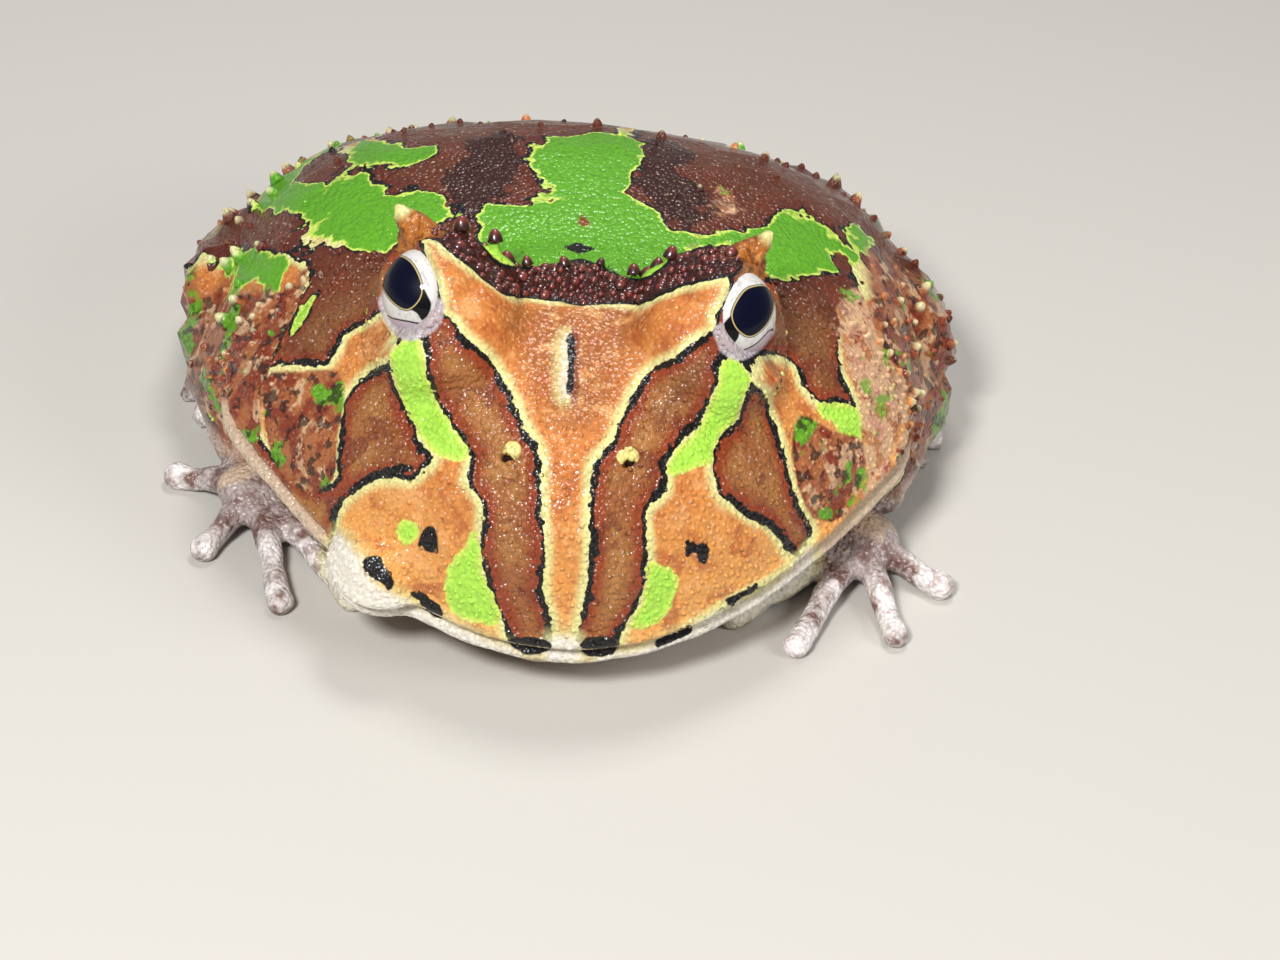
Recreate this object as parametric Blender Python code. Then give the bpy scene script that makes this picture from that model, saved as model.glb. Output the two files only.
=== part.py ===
"""A horned frog sitting on the ground, life size, as separate solids for each named part of the body.

The frog faces -Y, +Z is up and the floor is at z = 0. Sizes are in millimetres in this file and are
turned to metres where a mesh is made. The origin is on the floor under the middle of the body.
"""

import math

import bmesh
import bpy
import numpy as np
from mathutils import Matrix, Vector

MM = 0.001
GAP = 0.3

# Overall body, from which the stations below are worked out
SNOUT_Y = -48.0
RUMP_Y = 48.0
HEAD_HALF_WIDTH = 39.0
HEAD_WIDEST_Y = -17.0
BACK_HEIGHT = 36.8
FLANK_HALF_WIDTH = 41.2
NECK_Y = -9.0

# Head stations: y, height of the widest level, top and underside; the plan follows a parabola
HEAD_STATIONS = (
    (-47.7, 10.0, 13.5, 7.4),
    (-46.8, 10.0, 18.2, 5.4),
    (-45.3, 10.0, 22.3, 3.6),
    (-43.2, 10.0, 25.6, 2.4),
    (-40.0, 10.2, 28.7, 1.5),
    (-34.5, 11.0, 31.3, 0.9),
    (-27.0, 12.0, 33.3, 0.6),
)

# Torso stations: y, half width, height of the widest level, top of the back, underside
TORSO_STATIONS = (
    (HEAD_WIDEST_Y, HEAD_HALF_WIDTH, 13.0, 35.3, 0.4),
    (-8.0, 40.6, 14.0, 35.4, 0.2),
    (0.0, FLANK_HALF_WIDTH, 15.0, 36.2, -0.4),
    (9.0, FLANK_HALF_WIDTH, 15.0, BACK_HEIGHT, -0.7),
    (17.0, 40.6, 15.0, 35.3, -0.7),
    (25.0, 38.0, 14.5, 31.4, -0.6),
    (33.0, 32.4, 13.0, 25.4, -0.4),
    (40.0, 24.4, 11.0, 18.6, 0.3),
    (45.0, 14.5, 9.0, 12.6, 1.8),
)
SNOUT_LEVEL = 10.0
RUMP_LEVEL = 6.5
# How square the sections are, on the head and behind the shoulders
SHOULDER_Y = 0.0
UPPER_SQUARENESS = (1.85, 2.1)
LOWER_SQUARENESS = (2.0, 2.5)
TRUNK_RINGS = 48
TRUNK_SIDES = 40

# Mouth: a slightly tilted slot from the lips back to the neck, with a rounded lip above and below
MOUTH_FRONT_Z = 7.5
MOUTH_RISE = 0.242
MOUTH_SLOT = GAP
LIP_RADIUS = 0.9
LIP_SINK = 0.35
LIP_POINTS = 25
LIP_SWEEP_DEG = 92.0

# The fuller cheek on the frog's right side
CHEEK = (-19.4, -37.6, 10.8)
CHEEK_RADII = (5.8, 6.8, 5.2)

# Eyes, the mounds they sit in, lids and horns; x is for the frog's left side
EYE = Vector((16.3, -22.5, 36.0))
EYE_RADIUS = 5.2
EYE_AXIS = Vector((0.63, -0.505, 0.586)).normalized()
EYE_OPENING_DEG = 57.0
OPENING_REACH = 9.0
LID_THICKNESS = 1.1
LID_UP = Vector((0.05, 0.5, 0.86)).normalized()
LID_LEVEL = 1.2
MOUND = Vector((14.3, -22.0, 31.5))
MOUND_RADII = (9.0, 10.5, 8.6)
HORN_POINTS = ((15.8, -19.4, 38.2), (18.6, -17.6, 40.8), (20.2, -16.8, 43.0))
HORN_RADII = (3.1, 1.7, 0.45)

# Brow crest: a ridge with knobs from horn to horn, standing on the head
CREST_HALF = 13.5
CREST_KNOBS = 13
CREST_FRONT_Y = -19.0
CREST_BACK_Y = -17.0
CREST_RADIUS = 1.15
CREST_KNOB_RADIUS = 1.35
CREST_KNOB_SWING = 0.18

NOSTRIL_X = 6.3
NOSTRIL_Y = -40.4
NOSTRIL_RADIUS = 0.75
NOSTRIL_DEPTH = 1.6

# Limb joints for the frog's left side, each a point and a radius
SHOULDER = ((35.5, -6.0, 11.5), 6.8)
ELBOW = ((41.5, 3.5, 9.0), 5.2)
WRIST = ((37.6, -9.5, 4.8), 3.5)
HIP = ((16.0, 33.0, 14.0), 9.5)
THIGH_MIDDLE = ((28.4, 22.5, 16.2), 9.4)
KNEE = ((40.2, 10.0, 12.8), 7.0)
CALF = ((40.2, 25.0, 9.0), 5.6)
ANKLE = ((31.5, 39.8, 6.4), 4.0)
HEEL = ((31.4, 41.2, 3.1), 3.3)
INSTEP = ((39.6, 33.5, 2.9), 3.2)
BALL = ((43.3, 23.5, 2.7), 3.0)

# How far round the end of a limb its last rings stand, and how big they are, as shares of its radius
END_RINGS = ((0.62, 0.76), (0.92, 0.35))

# Fingers and toes: their tips in the pose, low enough for a small flat on the floor
FINGER_RADIUS = 1.6
TOE_RADIUS = 1.45
DIGIT_HEIGHT = 1.15
DIGIT_ARCH = 0.55
DIGIT_ROOT_HEIGHT = 2.2
DIGIT_ROOT_REACH = 2.4
PALM_RADII = (4.6, 5.4, 3.0)
PALMS = {"left": (35.2, -18.0, 3.0), "right": (35.5, -15.5, 3.0)}
FINGER_TIPS = {
    "left": ((20.0, -31.5), (27.2, -36.0), (38.5, -33.0), (44.5, -23.5)),
    "right": ((23.0, -32.6), (31.0, -34.0), (40.5, -25.5), (45.0, -12.0)),
}
TOE_TIPS = ((37.0, 10.5), (39.8, 3.5), (43.2, 1.0), (45.6, 6.0), (45.8, 13.0))

# Tubercles: rows up the flank, from low on the side to the edge of the back
WART_ROWS = 6
WARTS_IN_ROW = 15
WART_FRONT_Y = -5.0
WART_SPAN = 46.0
WART_FIRST_DEG = 4.0
WART_STEP_DEG = 12.5
WART_SCATTER_DEG = 3.0
WART_SCATTER = 0.22
WART_KEPT = 0.62
WART_THINNING = 0.05
WART_SIZES = (0.75, 1.15)
WART_RADIUS = 1.7
WART_TIP_RADIUS = 0.35
WART_HEIGHT = 1.5
WART_ROOT = 1.1
WART_SEED = 4

# Colours from the photo: base colour and roughness of each part's material
FINISHES = {
    "orange_skin": ((0.52, 0.19, 0.05), 0.35),
    "brown_skin": ((0.20, 0.06, 0.03), 0.40),
    "green_skin": ((0.22, 0.50, 0.05), 0.35),
    "pale_skin": ((0.55, 0.45, 0.40), 0.45),
    "eye": ((0.03, 0.03, 0.05), 0.05),
}

# Half the size of the cutters that take away a whole side
FAR = 90.0
CREASE_DEG = 40.0

SIDES = {"left": 1, "right": -1}


def start_scene():
    """Remove every object and make the collections for the parts and the cutters."""
    for obj in list(bpy.data.objects):
        bpy.data.objects.remove(obj)
    collections = []
    for name in ("horned_frog", "cutters"):
        collection = bpy.data.collections.new(name)
        bpy.context.scene.collection.children.link(collection)
        collections.append(collection)
    return collections


PARTS, CUTTERS = start_scene()


def material(name):
    """The Principled material of that finish, made once."""
    if name in bpy.data.materials:
        return bpy.data.materials[name]
    made = bpy.data.materials.new(name)
    made.use_nodes = True
    shader = made.node_tree.nodes["Principled BSDF"]
    colour, roughness = FINISHES[name]
    shader.inputs["Base Color"].default_value = (*colour, 1.0)
    shader.inputs["Roughness"].default_value = roughness
    shader.inputs["Metallic"].default_value = 0.0
    return made


def new_object(name, mesh, finish=None):
    """Link a mesh as a part, or as a hidden cutter when it has no finish."""
    obj = bpy.data.objects.new(name, mesh)
    if finish is None:
        CUTTERS.objects.link(obj)
        obj.hide_render = True
        obj.display_type = "WIRE"
    else:
        PARTS.objects.link(obj)
        mesh.materials.append(material(finish))
    return obj


def remove(obj):
    """Remove an object that has done its work."""
    bpy.data.objects.remove(obj)


def mesh_from_bmesh(name, bm):
    """Turn a bmesh in millimetres into a mesh in metres."""
    bmesh.ops.scale(bm, vec=(MM, MM, MM), verts=bm.verts)
    mesh = bpy.data.meshes.new(name)
    bm.to_mesh(mesh)
    bm.free()
    return mesh


def ellipsoid(name, centre, radii, finish=None, segments=20, rings=14):
    """A UV sphere stretched to three radii about a centre."""
    bm = bmesh.new()
    bmesh.ops.create_uvsphere(bm, u_segments=segments, v_segments=rings, radius=1.0)
    bmesh.ops.scale(bm, vec=radii, verts=bm.verts)
    bmesh.ops.translate(bm, vec=centre, verts=bm.verts)
    return new_object(name, mesh_from_bmesh(name, bm), finish)


def box(name, low, high):
    """A box cutter between two corners."""
    bm = bmesh.new()
    bmesh.ops.create_cube(bm, size=1.0)
    bmesh.ops.scale(bm, vec=Vector(high) - Vector(low), verts=bm.verts)
    bmesh.ops.translate(bm, vec=(Vector(high) + Vector(low)) / 2, verts=bm.verts)
    return new_object(name, mesh_from_bmesh(name, bm))


def cone(name, base, tip, base_radius, tip_radius, segments):
    """A capped cone from a base point to a tip point."""
    axis = Vector(tip) - Vector(base)
    bm = bmesh.new()
    bmesh.ops.create_cone(bm, cap_ends=True, segments=segments, radius1=base_radius,
                          radius2=tip_radius, depth=axis.length)
    turn = axis.to_track_quat("Z", "Y").to_matrix().to_4x4()
    place = Matrix.Translation((Vector(base) + Vector(tip)) / 2)
    bmesh.ops.transform(bm, matrix=place @ turn, verts=bm.verts)
    return new_object(name, mesh_from_bmesh(name, bm))


def smooth_path(points, radii, steps):
    """Catmull-Rom points and radii through the joints, with so many steps to each stretch."""
    rows = np.array([(*p, r) for p, r in zip(points, radii)], float)
    ends = np.vstack([2 * rows[0] - rows[1], rows, 2 * rows[-1] - rows[-2]])
    made = []
    for i in range(len(rows) - 1):
        p0, p1, p2, p3 = ends[i:i + 4]
        for t in np.arange(steps) / steps:
            made.append(0.5 * (2 * p1 + (p2 - p0) * t + (2 * p0 - 5 * p1 + 4 * p2 - p3) * t ** 2
                               + (3 * p1 - p0 - 3 * p2 + p3) * t ** 3))
    made.append(rows[-1])
    return [tuple(row) for row in made]


def rounded_ends(path):
    """The path with smaller rings past each end, so that its caps are round."""
    def past_end(last, before):
        away = (Vector(last[:3]) - Vector(before[:3])).normalized()
        return [(*(Vector(last[:3]) + away * last[3] * reach), last[3] * size) for reach, size in END_RINGS]
    start = past_end(path[0], path[1])
    end = past_end(path[-1], path[-2])
    return start[::-1] + path + end


def tube(name, points, radii, finish=None, grow=0.0, resolution=2, steps=3):
    """A tapered limb: a bevelled poly curve read from a smooth path through the points."""
    path = rounded_ends(smooth_path(points, radii, steps))
    curve = bpy.data.curves.new(name, "CURVE")
    curve.dimensions = "3D"
    curve.bevel_depth = MM
    curve.bevel_resolution = resolution
    curve.use_fill_caps = True
    spline = curve.splines.new("POLY")
    spline.points.add(len(path) - 1)
    for point, (x, y, z, radius) in zip(spline.points, path):
        point.co = (x * MM, y * MM, z * MM, 1.0)
        point.radius = radius + grow
    holder = bpy.data.objects.new(name, curve)
    CUTTERS.objects.link(holder)
    bpy.context.view_layer.update()
    graph = bpy.context.evaluated_depsgraph_get()
    mesh = bpy.data.meshes.new_from_object(holder.evaluated_get(graph))
    place = holder.matrix_world.copy()
    remove(holder)
    bm = bmesh.new()
    bm.from_mesh(mesh)
    bmesh.ops.remove_doubles(bm, verts=bm.verts, dist=1e-6)
    bmesh.ops.recalc_face_normals(bm, faces=bm.faces)
    bm.to_mesh(mesh)
    bm.free()
    mesh.materials.clear()
    made = new_object(name, mesh, finish)
    made.matrix_world = place
    return made


def apply_boolean(obj, other, operation, solver="EXACT"):
    """Join or cut with another mesh object or a collection, and keep the result as the mesh."""
    modifier = obj.modifiers.new("boolean", "BOOLEAN")
    modifier.operation = operation
    modifier.solver = solver
    if isinstance(other, bpy.types.Collection):
        modifier.operand_type = "COLLECTION"
        modifier.collection = other
    else:
        modifier.object = other
    bpy.context.view_layer.update()
    graph = bpy.context.evaluated_depsgraph_get()
    mesh = bpy.data.meshes.new_from_object(obj.evaluated_get(graph))
    obj.modifiers.clear()
    obj.data = mesh
    keep_largest(obj)


def keep_largest(obj):
    """Keep only the closed surface whose box is the largest."""
    bm = bmesh.new()
    bm.from_mesh(obj.data)
    bmesh.ops.remove_doubles(bm, verts=bm.verts, dist=1e-7)
    unseen = set(bm.verts)
    groups = []
    while unseen:
        group = set()
        edge = {unseen.pop()}
        while edge:
            group |= edge
            edge = {e.other_vert(v) for v in edge for e in v.link_edges} - group
        unseen -= group
        groups.append(group)

    def span(group):
        points = np.array([v.co for v in group])
        return float(np.prod(np.ptp(points, axis=0)))

    largest = max(groups, key=span)
    loose = [v for v in bm.verts if v not in largest]
    bmesh.ops.delete(bm, geom=loose, context="VERTS")
    bm.to_mesh(obj.data)
    bm.free()


def join(obj, pieces):
    """Fuse closed pieces into a node with one union, then remove them."""
    group = bpy.data.collections.new(obj.name + "_pieces")
    bpy.context.scene.collection.children.link(group)
    for piece in pieces:
        CUTTERS.objects.unlink(piece)
        group.objects.link(piece)
    apply_boolean(obj, group, "UNION")
    for piece in pieces:
        remove(piece)
    bpy.data.collections.remove(group)


def cut(obj, cutter):
    """Take a cutter's shape away and remove the cutter."""
    apply_boolean(obj, cutter, "DIFFERENCE")
    remove(cutter)


def mirrored(point, side):
    """The point on that side of the body."""
    return Vector((point[0] * side, point[1], point[2]))


def trunk_stations():
    """Rows of y, half width, widest level, top and underside, from snout to rump."""
    rows = [(SNOUT_Y, 0.0, SNOUT_LEVEL, SNOUT_LEVEL, SNOUT_LEVEL)]
    reach = HEAD_WIDEST_Y - SNOUT_Y
    for y, level, top, under in HEAD_STATIONS:
        plan = HEAD_HALF_WIDTH * math.sqrt((y - SNOUT_Y) / reach)
        rows.append((y, plan, level, top, under))
    rows.extend(TORSO_STATIONS)
    rows.append((RUMP_Y, 0.0, RUMP_LEVEL, RUMP_LEVEL, RUMP_LEVEL))
    return np.array(rows)


def monotone(x, xs, ys):
    """A cubic through the stations that never overshoots them (harmonic-mean slopes)."""
    step = np.diff(xs)
    slope = np.diff(ys) / step
    level = slope[:-1] * slope[1:] <= 0
    total = np.where(level, 1.0, slope[:-1] + slope[1:])
    inner = np.where(level, 0.0, 2 * slope[:-1] * slope[1:] / total)
    tangent = np.concatenate([[slope[0]], inner, [slope[-1]]])
    i = np.clip(np.searchsorted(xs, x) - 1, 0, len(step) - 1)
    t = (x - xs[i]) / step[i]
    return ((1 + 2 * t) * (1 - t) ** 2 * ys[i] + t * (1 - t) ** 2 * step[i] * tangent[i]
            + t ** 2 * (3 - 2 * t) * ys[i + 1] + t ** 2 * (t - 1) * step[i] * tangent[i + 1])


def trunk_measures(y):
    """Half width, widest level, and reach above and below it. Squares are interpolated: the ends are round."""
    ys, width, level, top, under = trunk_stations().T
    half = np.sqrt(np.maximum(monotone(y, ys, width ** 2), 0.0))
    up = np.sqrt(np.maximum(monotone(y, ys, (top - level) ** 2), 0.0))
    down = np.sqrt(np.maximum(monotone(y, ys, (level - under) ** 2), 0.0))
    return half, monotone(y, ys, level), up, down


def squareness(y, above):
    """The power of a section's superellipse at y, above or below its widest level."""
    upper = np.interp(y, (HEAD_WIDEST_Y, SHOULDER_Y), UPPER_SQUARENESS)
    lower = np.interp(y, (HEAD_WIDEST_Y, SHOULDER_Y), LOWER_SQUARENESS)
    return np.where(above, upper, lower)


def trunk_point(y, angle):
    """A point on the trunk: each section is a superellipse, squarer below than above."""
    half, level, up, down = trunk_measures(y)
    c, s = np.cos(angle), np.sin(angle)
    power = 2 / squareness(y, s > 0)
    x = half * np.sign(c) * np.abs(c) ** power
    z = level + np.where(s > 0, up, down) * np.sign(s) * np.abs(s) ** power
    return x, y, z


def trunk_top(x, y):
    """Height of the trunk's upper surface over x, y."""
    half, level, up, _ = trunk_measures(np.float64(y))
    power = squareness(y, True)
    return float(level + up * (1 - (abs(x) / half) ** power) ** (1 / power))


def surface_normal(y, angle):
    """A point on the trunk and the outward direction there, from two small steps along the surface."""
    step = 0.01
    here = Vector(map(float, trunk_point(y, angle)))
    along = Vector(map(float, trunk_point(y + step, angle))) - here
    around = Vector(map(float, trunk_point(y, angle + step))) - here
    normal = around.cross(along).normalized()
    outward = Vector((here.x, 0.0, here.z - RUMP_LEVEL))
    return here, normal if normal.dot(outward) > 0 else -normal


def trunk_mesh():
    """The head and torso as one closed loft, with its poles at the snout and the rump."""
    turn = np.linspace(0, math.pi, TRUNK_RINGS + 1)[1:-1]
    ys = (SNOUT_Y + RUMP_Y) / 2 - (RUMP_Y - SNOUT_Y) / 2 * np.cos(turn)
    angles = np.linspace(0, 2 * math.pi, TRUNK_SIDES, endpoint=False)
    grid_y, grid_a = np.meshgrid(ys, angles, indexing="ij")
    x, y, z = trunk_point(grid_y, grid_a)
    rings = np.stack([x, y, z], -1).reshape(-1, 3)
    poles = [(0.0, SNOUT_Y, SNOUT_LEVEL), (0.0, RUMP_Y, RUMP_LEVEL)]
    points = np.vstack([rings, poles]) * MM
    snout, rump = len(rings), len(rings) + 1
    sides = TRUNK_SIDES
    faces = []
    for ring in range(len(ys) - 1):
        for side in range(sides):
            a = ring * sides + side
            b = ring * sides + (side + 1) % sides
            faces.append((a, b, b + sides, a + sides))
    last = (len(ys) - 1) * sides
    for side in range(sides):
        after = (side + 1) % sides
        faces.append((snout, after, side))
        faces.append((rump, last + side, last + after))
    mesh = bpy.data.meshes.new("trunk")
    mesh.from_pydata(points.tolist(), [], faces)
    bm = bmesh.new()
    bm.from_mesh(mesh)
    bmesh.ops.recalc_face_normals(bm, faces=bm.faces)
    bm.to_mesh(mesh)
    bm.free()
    return mesh


def inside_trunk(point):
    """Whether a point lies inside the trunk."""
    half, level, up, down = trunk_measures(np.float64(point.y))
    above = point.z > level
    power = squareness(point.y, above)
    reach = up if above else down
    return (abs(point.x) / half) ** power + (abs(point.z - level) / reach) ** power < 1


def mouth_height(y):
    """Height of the mouth's plane at y."""
    return MOUTH_FRONT_Z + MOUTH_RISE * (y - SNOUT_Y)


def lip(name, above):
    """A rounded lip all along the mouth, sunk into the jaw's edge, above or below the slot."""
    path = []
    sweep = math.radians(LIP_SWEEP_DEG)
    for turn in np.linspace(-sweep, sweep, LIP_POINTS):
        way = Vector((math.sin(turn), -math.cos(turn), 0.0))
        near, far = 0.0, HEAD_HALF_WIDTH
        for _ in range(20):
            middle = (near + far) / 2
            point = Vector((0.0, HEAD_WIDEST_Y, 0.0)) + way * middle
            point.z = mouth_height(point.y) + (LIP_RADIUS if above else -LIP_RADIUS)
            if inside_trunk(point):
                near = middle
            else:
                far = middle
        path.append(point - way * LIP_SINK)
    return tube(name, path, [LIP_RADIUS] * len(path), resolution=1, steps=1)


def keep_front(obj):
    """Keep what lies in front of the neck."""
    cut(obj, box("behind", (-FAR, NECK_Y - GAP / 2, -FAR), (FAR, FAR, FAR)))


def keep_back(obj):
    """Keep what lies behind the neck."""
    cut(obj, box("front", (-FAR, -FAR, -FAR), (FAR, NECK_Y + GAP / 2, FAR)))


def split_mouth(obj, keep_above):
    """Cut along the tilted plane of the mouth, leaving half the slot on each side."""
    low, high = (-FAR, 0.0) if keep_above else (0.0, FAR)
    cutter = box("mouth", (-FAR, -FAR, low), (FAR, FAR, high))
    offset = MOUTH_SLOT / 2 if keep_above else -MOUTH_SLOT / 2
    tilt = Matrix.Rotation(math.atan(MOUTH_RISE), 4, "X")
    place = Matrix.Translation(Vector((0.0, SNOUT_Y, MOUTH_FRONT_Z + offset)) * MM)
    cutter.data.transform(place @ tilt)
    cut(obj, cutter)


def crest_line():
    """Points along the brow crest, on the head and on the mounds round the eyes."""
    points = []
    for x in np.linspace(-CREST_HALF, CREST_HALF, CREST_KNOBS):
        share = abs(x) / CREST_HALF
        y = CREST_BACK_Y + (CREST_FRONT_Y - CREST_BACK_Y) * share
        z = trunk_top(x, y)
        over = (x - math.copysign(MOUND.x, x)) / MOUND_RADII[0]
        along = (y - MOUND.y) / MOUND_RADII[1]
        rest = 1 - over ** 2 - along ** 2
        if rest > 0:
            z = max(z, MOUND.z + MOUND_RADII[2] * math.sqrt(rest))
        points.append(Vector((float(x), y, z)))
    return points


def crest():
    """The brow crest's ridge and its knobs, large and small in turn."""
    line = crest_line()
    pieces = [tube("ridge", line, [CREST_RADIUS] * len(line), resolution=1, steps=1)]
    for i, point in enumerate(line):
        size = CREST_KNOB_RADIUS * (1 + CREST_KNOB_SWING * (-1) ** i)
        pieces.append(ellipsoid("knob", point, (size,) * 3, segments=8, rings=6))
    return pieces


def nostril(side):
    """A cutter for one nostril, opening up and outwards."""
    z = trunk_top(NOSTRIL_X, NOSTRIL_Y)
    mouth = Vector((NOSTRIL_X * side, NOSTRIL_Y, z))
    way = Vector((0.5 * side, -0.6, 0.6)).normalized() * NOSTRIL_DEPTH
    return cone("nostril", mouth - way, mouth + way, NOSTRIL_RADIUS * 0.7, NOSTRIL_RADIUS * 1.3, segments=10)


def lid_shape(name, side, grow, finish=None):
    """The upper lid and its horn: the top of a ball round the eye, cut flat below, and a curved cone."""
    centre = mirrored(EYE, side)
    radius = EYE_RADIUS + LID_THICKNESS + grow
    lid = ellipsoid(name, centre, (radius,) * 3, finish)
    horn_points = [mirrored(point, side) for point in HORN_POINTS]
    join(lid, [tube(name + "_horn", horn_points, HORN_RADII, grow=grow, resolution=1, steps=2)])
    up = mirrored(LID_UP, side)
    top = centre + up * (LID_LEVEL - grow)
    cut(lid, cone(name + "_cut", top - up * FAR / 2, top, FAR / 2, FAR / 2, segments=12))
    return lid


def eye_clearance(side):
    """Cutters for the eyeball's room and for the opening between the lids."""
    centre, axis = mirrored(EYE, side), mirrored(EYE_AXIS, side)
    room = ellipsoid("room", centre, (EYE_RADIUS + GAP,) * 3, segments=24, rings=16)
    wide = OPENING_REACH * math.tan(math.radians(EYE_OPENING_DEG))
    return room, cone("opening", centre, centre + axis * OPENING_REACH, GAP, wide, segments=20)


def build_eyes(head):
    """Eyeballs and upper lids with horns, with the head cut clear of them."""
    for word, side in SIDES.items():
        ellipsoid(f"eye_{word}", mirrored(EYE, side), (EYE_RADIUS,) * 3, "eye", segments=24, rings=16)
        lid = lid_shape(f"upper_lid_{word}", side, 0.0, "orange_skin")
        for cutter in eye_clearance(side):
            cut(lid, cutter)
        cut(head, lid_shape("lid_room", side, GAP))
        for cutter in eye_clearance(side):
            cut(head, cutter)


def build_head(trunk):
    """The skull and upper jaw, with eye mounds, lower lids, crest, cheek, lip, nostrils and mouth."""
    head = new_object("head", trunk.copy(), "orange_skin")
    pieces = [ellipsoid("cheek", CHEEK, CHEEK_RADII), lip("upper_lip", above=True)]
    for side in SIDES.values():
        pieces.append(ellipsoid("mound", mirrored(MOUND, side), MOUND_RADII))
        pieces.append(ellipsoid("lower_lid", mirrored(EYE, side), (EYE_RADIUS + LID_THICKNESS,) * 3))
    join(head, pieces + crest())
    keep_front(head)
    split_mouth(head, keep_above=True)
    for side in SIDES.values():
        cut(head, nostril(side))
    build_eyes(head)
    return head


def build_jaw(trunk):
    """The lower jaw and throat, with the lower lip."""
    jaw = new_object("lower_jaw", trunk.copy(), "pale_skin")
    join(jaw, [lip("lower_lip", above=False)])
    keep_front(jaw)
    split_mouth(jaw, keep_above=False)
    return jaw


def torso_warts():
    """Blunt cones over the flanks and the edge of the back, their roots sunk well in."""
    rng = np.random.default_rng(WART_SEED)
    warts = []
    for side in SIDES.values():
        for row in range(WART_ROWS):
            for k in range(WARTS_IN_ROW):
                share = (k + (row % 2) / 2 + rng.uniform(-WART_SCATTER, WART_SCATTER)) / WARTS_IN_ROW
                scatter = rng.uniform(-WART_SCATTER_DEG, WART_SCATTER_DEG)
                rise = math.radians(WART_FIRST_DEG + WART_STEP_DEG * row + scatter)
                kept = rng.uniform() < WART_KEPT - WART_THINNING * row
                size = rng.uniform(*WART_SIZES)
                if not kept:
                    continue
                angle = rise if side > 0 else math.pi - rise
                root, out = surface_normal(np.float64(WART_FRONT_Y + WART_SPAN * share), angle)
                warts.append(cone("wart", root - out * WART_ROOT, root + out * WART_HEIGHT * size,
                                  WART_RADIUS * size, WART_TIP_RADIUS * size, segments=6))
    return warts


def build_torso(trunk):
    """The trunk behind the neck, with its tubercles."""
    torso = new_object("torso", trunk.copy(), "green_skin")
    keep_back(torso)
    join(torso, torso_warts())
    return torso


def limb(name, joints, side, finish, grow=0.0, resolution=2, steps=3):
    """A limb segment through its joints, on that side of the body."""
    points = [mirrored(point, side) for point, _ in joints]
    radii = [radius for _, radius in joints]
    return tube(name, points, radii, finish, grow, resolution, steps)


def digits(root, tips, side, radius, grow):
    """Fingers or toes as arched tubes that leave a palm or sole and end on the floor."""
    made = []
    for x, y in tips:
        way = Vector((x - root[0], y - root[1], 0.0)).normalized()
        start = Vector((root[0], root[1], DIGIT_ROOT_HEIGHT)) + way * DIGIT_ROOT_REACH
        tip = Vector((x, y, DIGIT_HEIGHT))
        middle = (start + tip) / 2
        middle.z = DIGIT_HEIGHT + DIGIT_ARCH
        points = [mirrored(point, side) for point in (start, middle, tip)]
        made.append(tube("digit", points, (radius * 1.12, radius * 0.94, radius), grow=grow,
                         resolution=1, steps=2))
    return made


def hand(name, word, finish, grow):
    """A palm with four fingers, spread as that hand's are in the pose."""
    side = SIDES[word]
    radii = [radius + grow for radius in PALM_RADII]
    made = ellipsoid(name, mirrored(PALMS[word], side), radii, finish, segments=14, rings=8)
    join(made, digits(PALMS[word], FINGER_TIPS[word], side, FINGER_RADIUS, grow))
    return made


def foot(name, word, finish, grow):
    """A heel, instep and ball as one tube, with five toes."""
    side = SIDES[word]
    made = limb(name, (HEEL, INSTEP, BALL), side, finish, grow, resolution=1, steps=2)
    join(made, digits(BALL[0], TOE_TIPS, side, TOE_RADIUS, grow))
    return made


def limb_piece(kind, name, word, finish=None, grow=0.0):
    """One named piece of a limb, at its own size or grown all round."""
    if kind == "hand":
        return hand(name, word, finish, grow)
    if kind == "foot":
        return foot(name, word, finish, grow)
    joints = {
        "thigh": (HIP, THIGH_MIDDLE, KNEE),
        "shank": (KNEE, CALF, ANKLE),
        "upper_arm": (SHOULDER, ELBOW),
        "forearm": (ELBOW, WRIST),
    }[kind]
    return limb(name, joints, SIDES[word], finish, grow, steps=12 // len(joints) - 1)


LIMB_FINISHES = {
    "thigh": "brown_skin",
    "shank": "brown_skin",
    "foot": "pale_skin",
    "forearm": "brown_skin",
    "upper_arm": "brown_skin",
    "hand": "pale_skin",
}


def bounds(obj):
    """Lowest and highest corner of an object's mesh."""
    points = np.array([v.co for v in obj.data.vertices])
    return points.min(0), points.max(0)


def boxes_meet(first, second):
    """Whether two objects' boxes overlap."""
    low_a, high_a = bounds(first)
    low_b, high_b = bounds(second)
    return bool((low_a < high_b).all() and (low_b < high_a).all())


def make_room(obj, shapes):
    """Cut an object clear of the grown shapes whose boxes it meets. EXACT loses the torso at an arm."""
    for shape in shapes:
        if boxes_meet(obj, shape):
            apply_boolean(obj, shape, "DIFFERENCE", solver="MANIFOLD")


def build_limbs(trunk_parts):
    """Make each limb piece clear of the ones before it, and the trunk clear of them all."""
    for word in SIDES:
        rooms = []
        for kind, finish in LIMB_FINISHES.items():
            piece = limb_piece(kind, f"{kind}_{word}", word, finish)
            make_room(piece, rooms)
            rooms.append(limb_piece(kind, f"{kind}_room", word, grow=GAP))
        for part in trunk_parts:
            make_room(part, rooms)
        for room in rooms:
            remove(room)


def flatten_on_floor():
    """Cut what dips below the floor level with it, which leaves the small flats that the frog rests on."""
    floor = box("floor", (-FAR, -FAR, -FAR), (FAR, FAR, 0.0))
    for obj in PARTS.objects:
        if bounds(obj)[0][2] < 0:
            apply_boolean(obj, floor, "DIFFERENCE")
    remove(floor)


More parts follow.
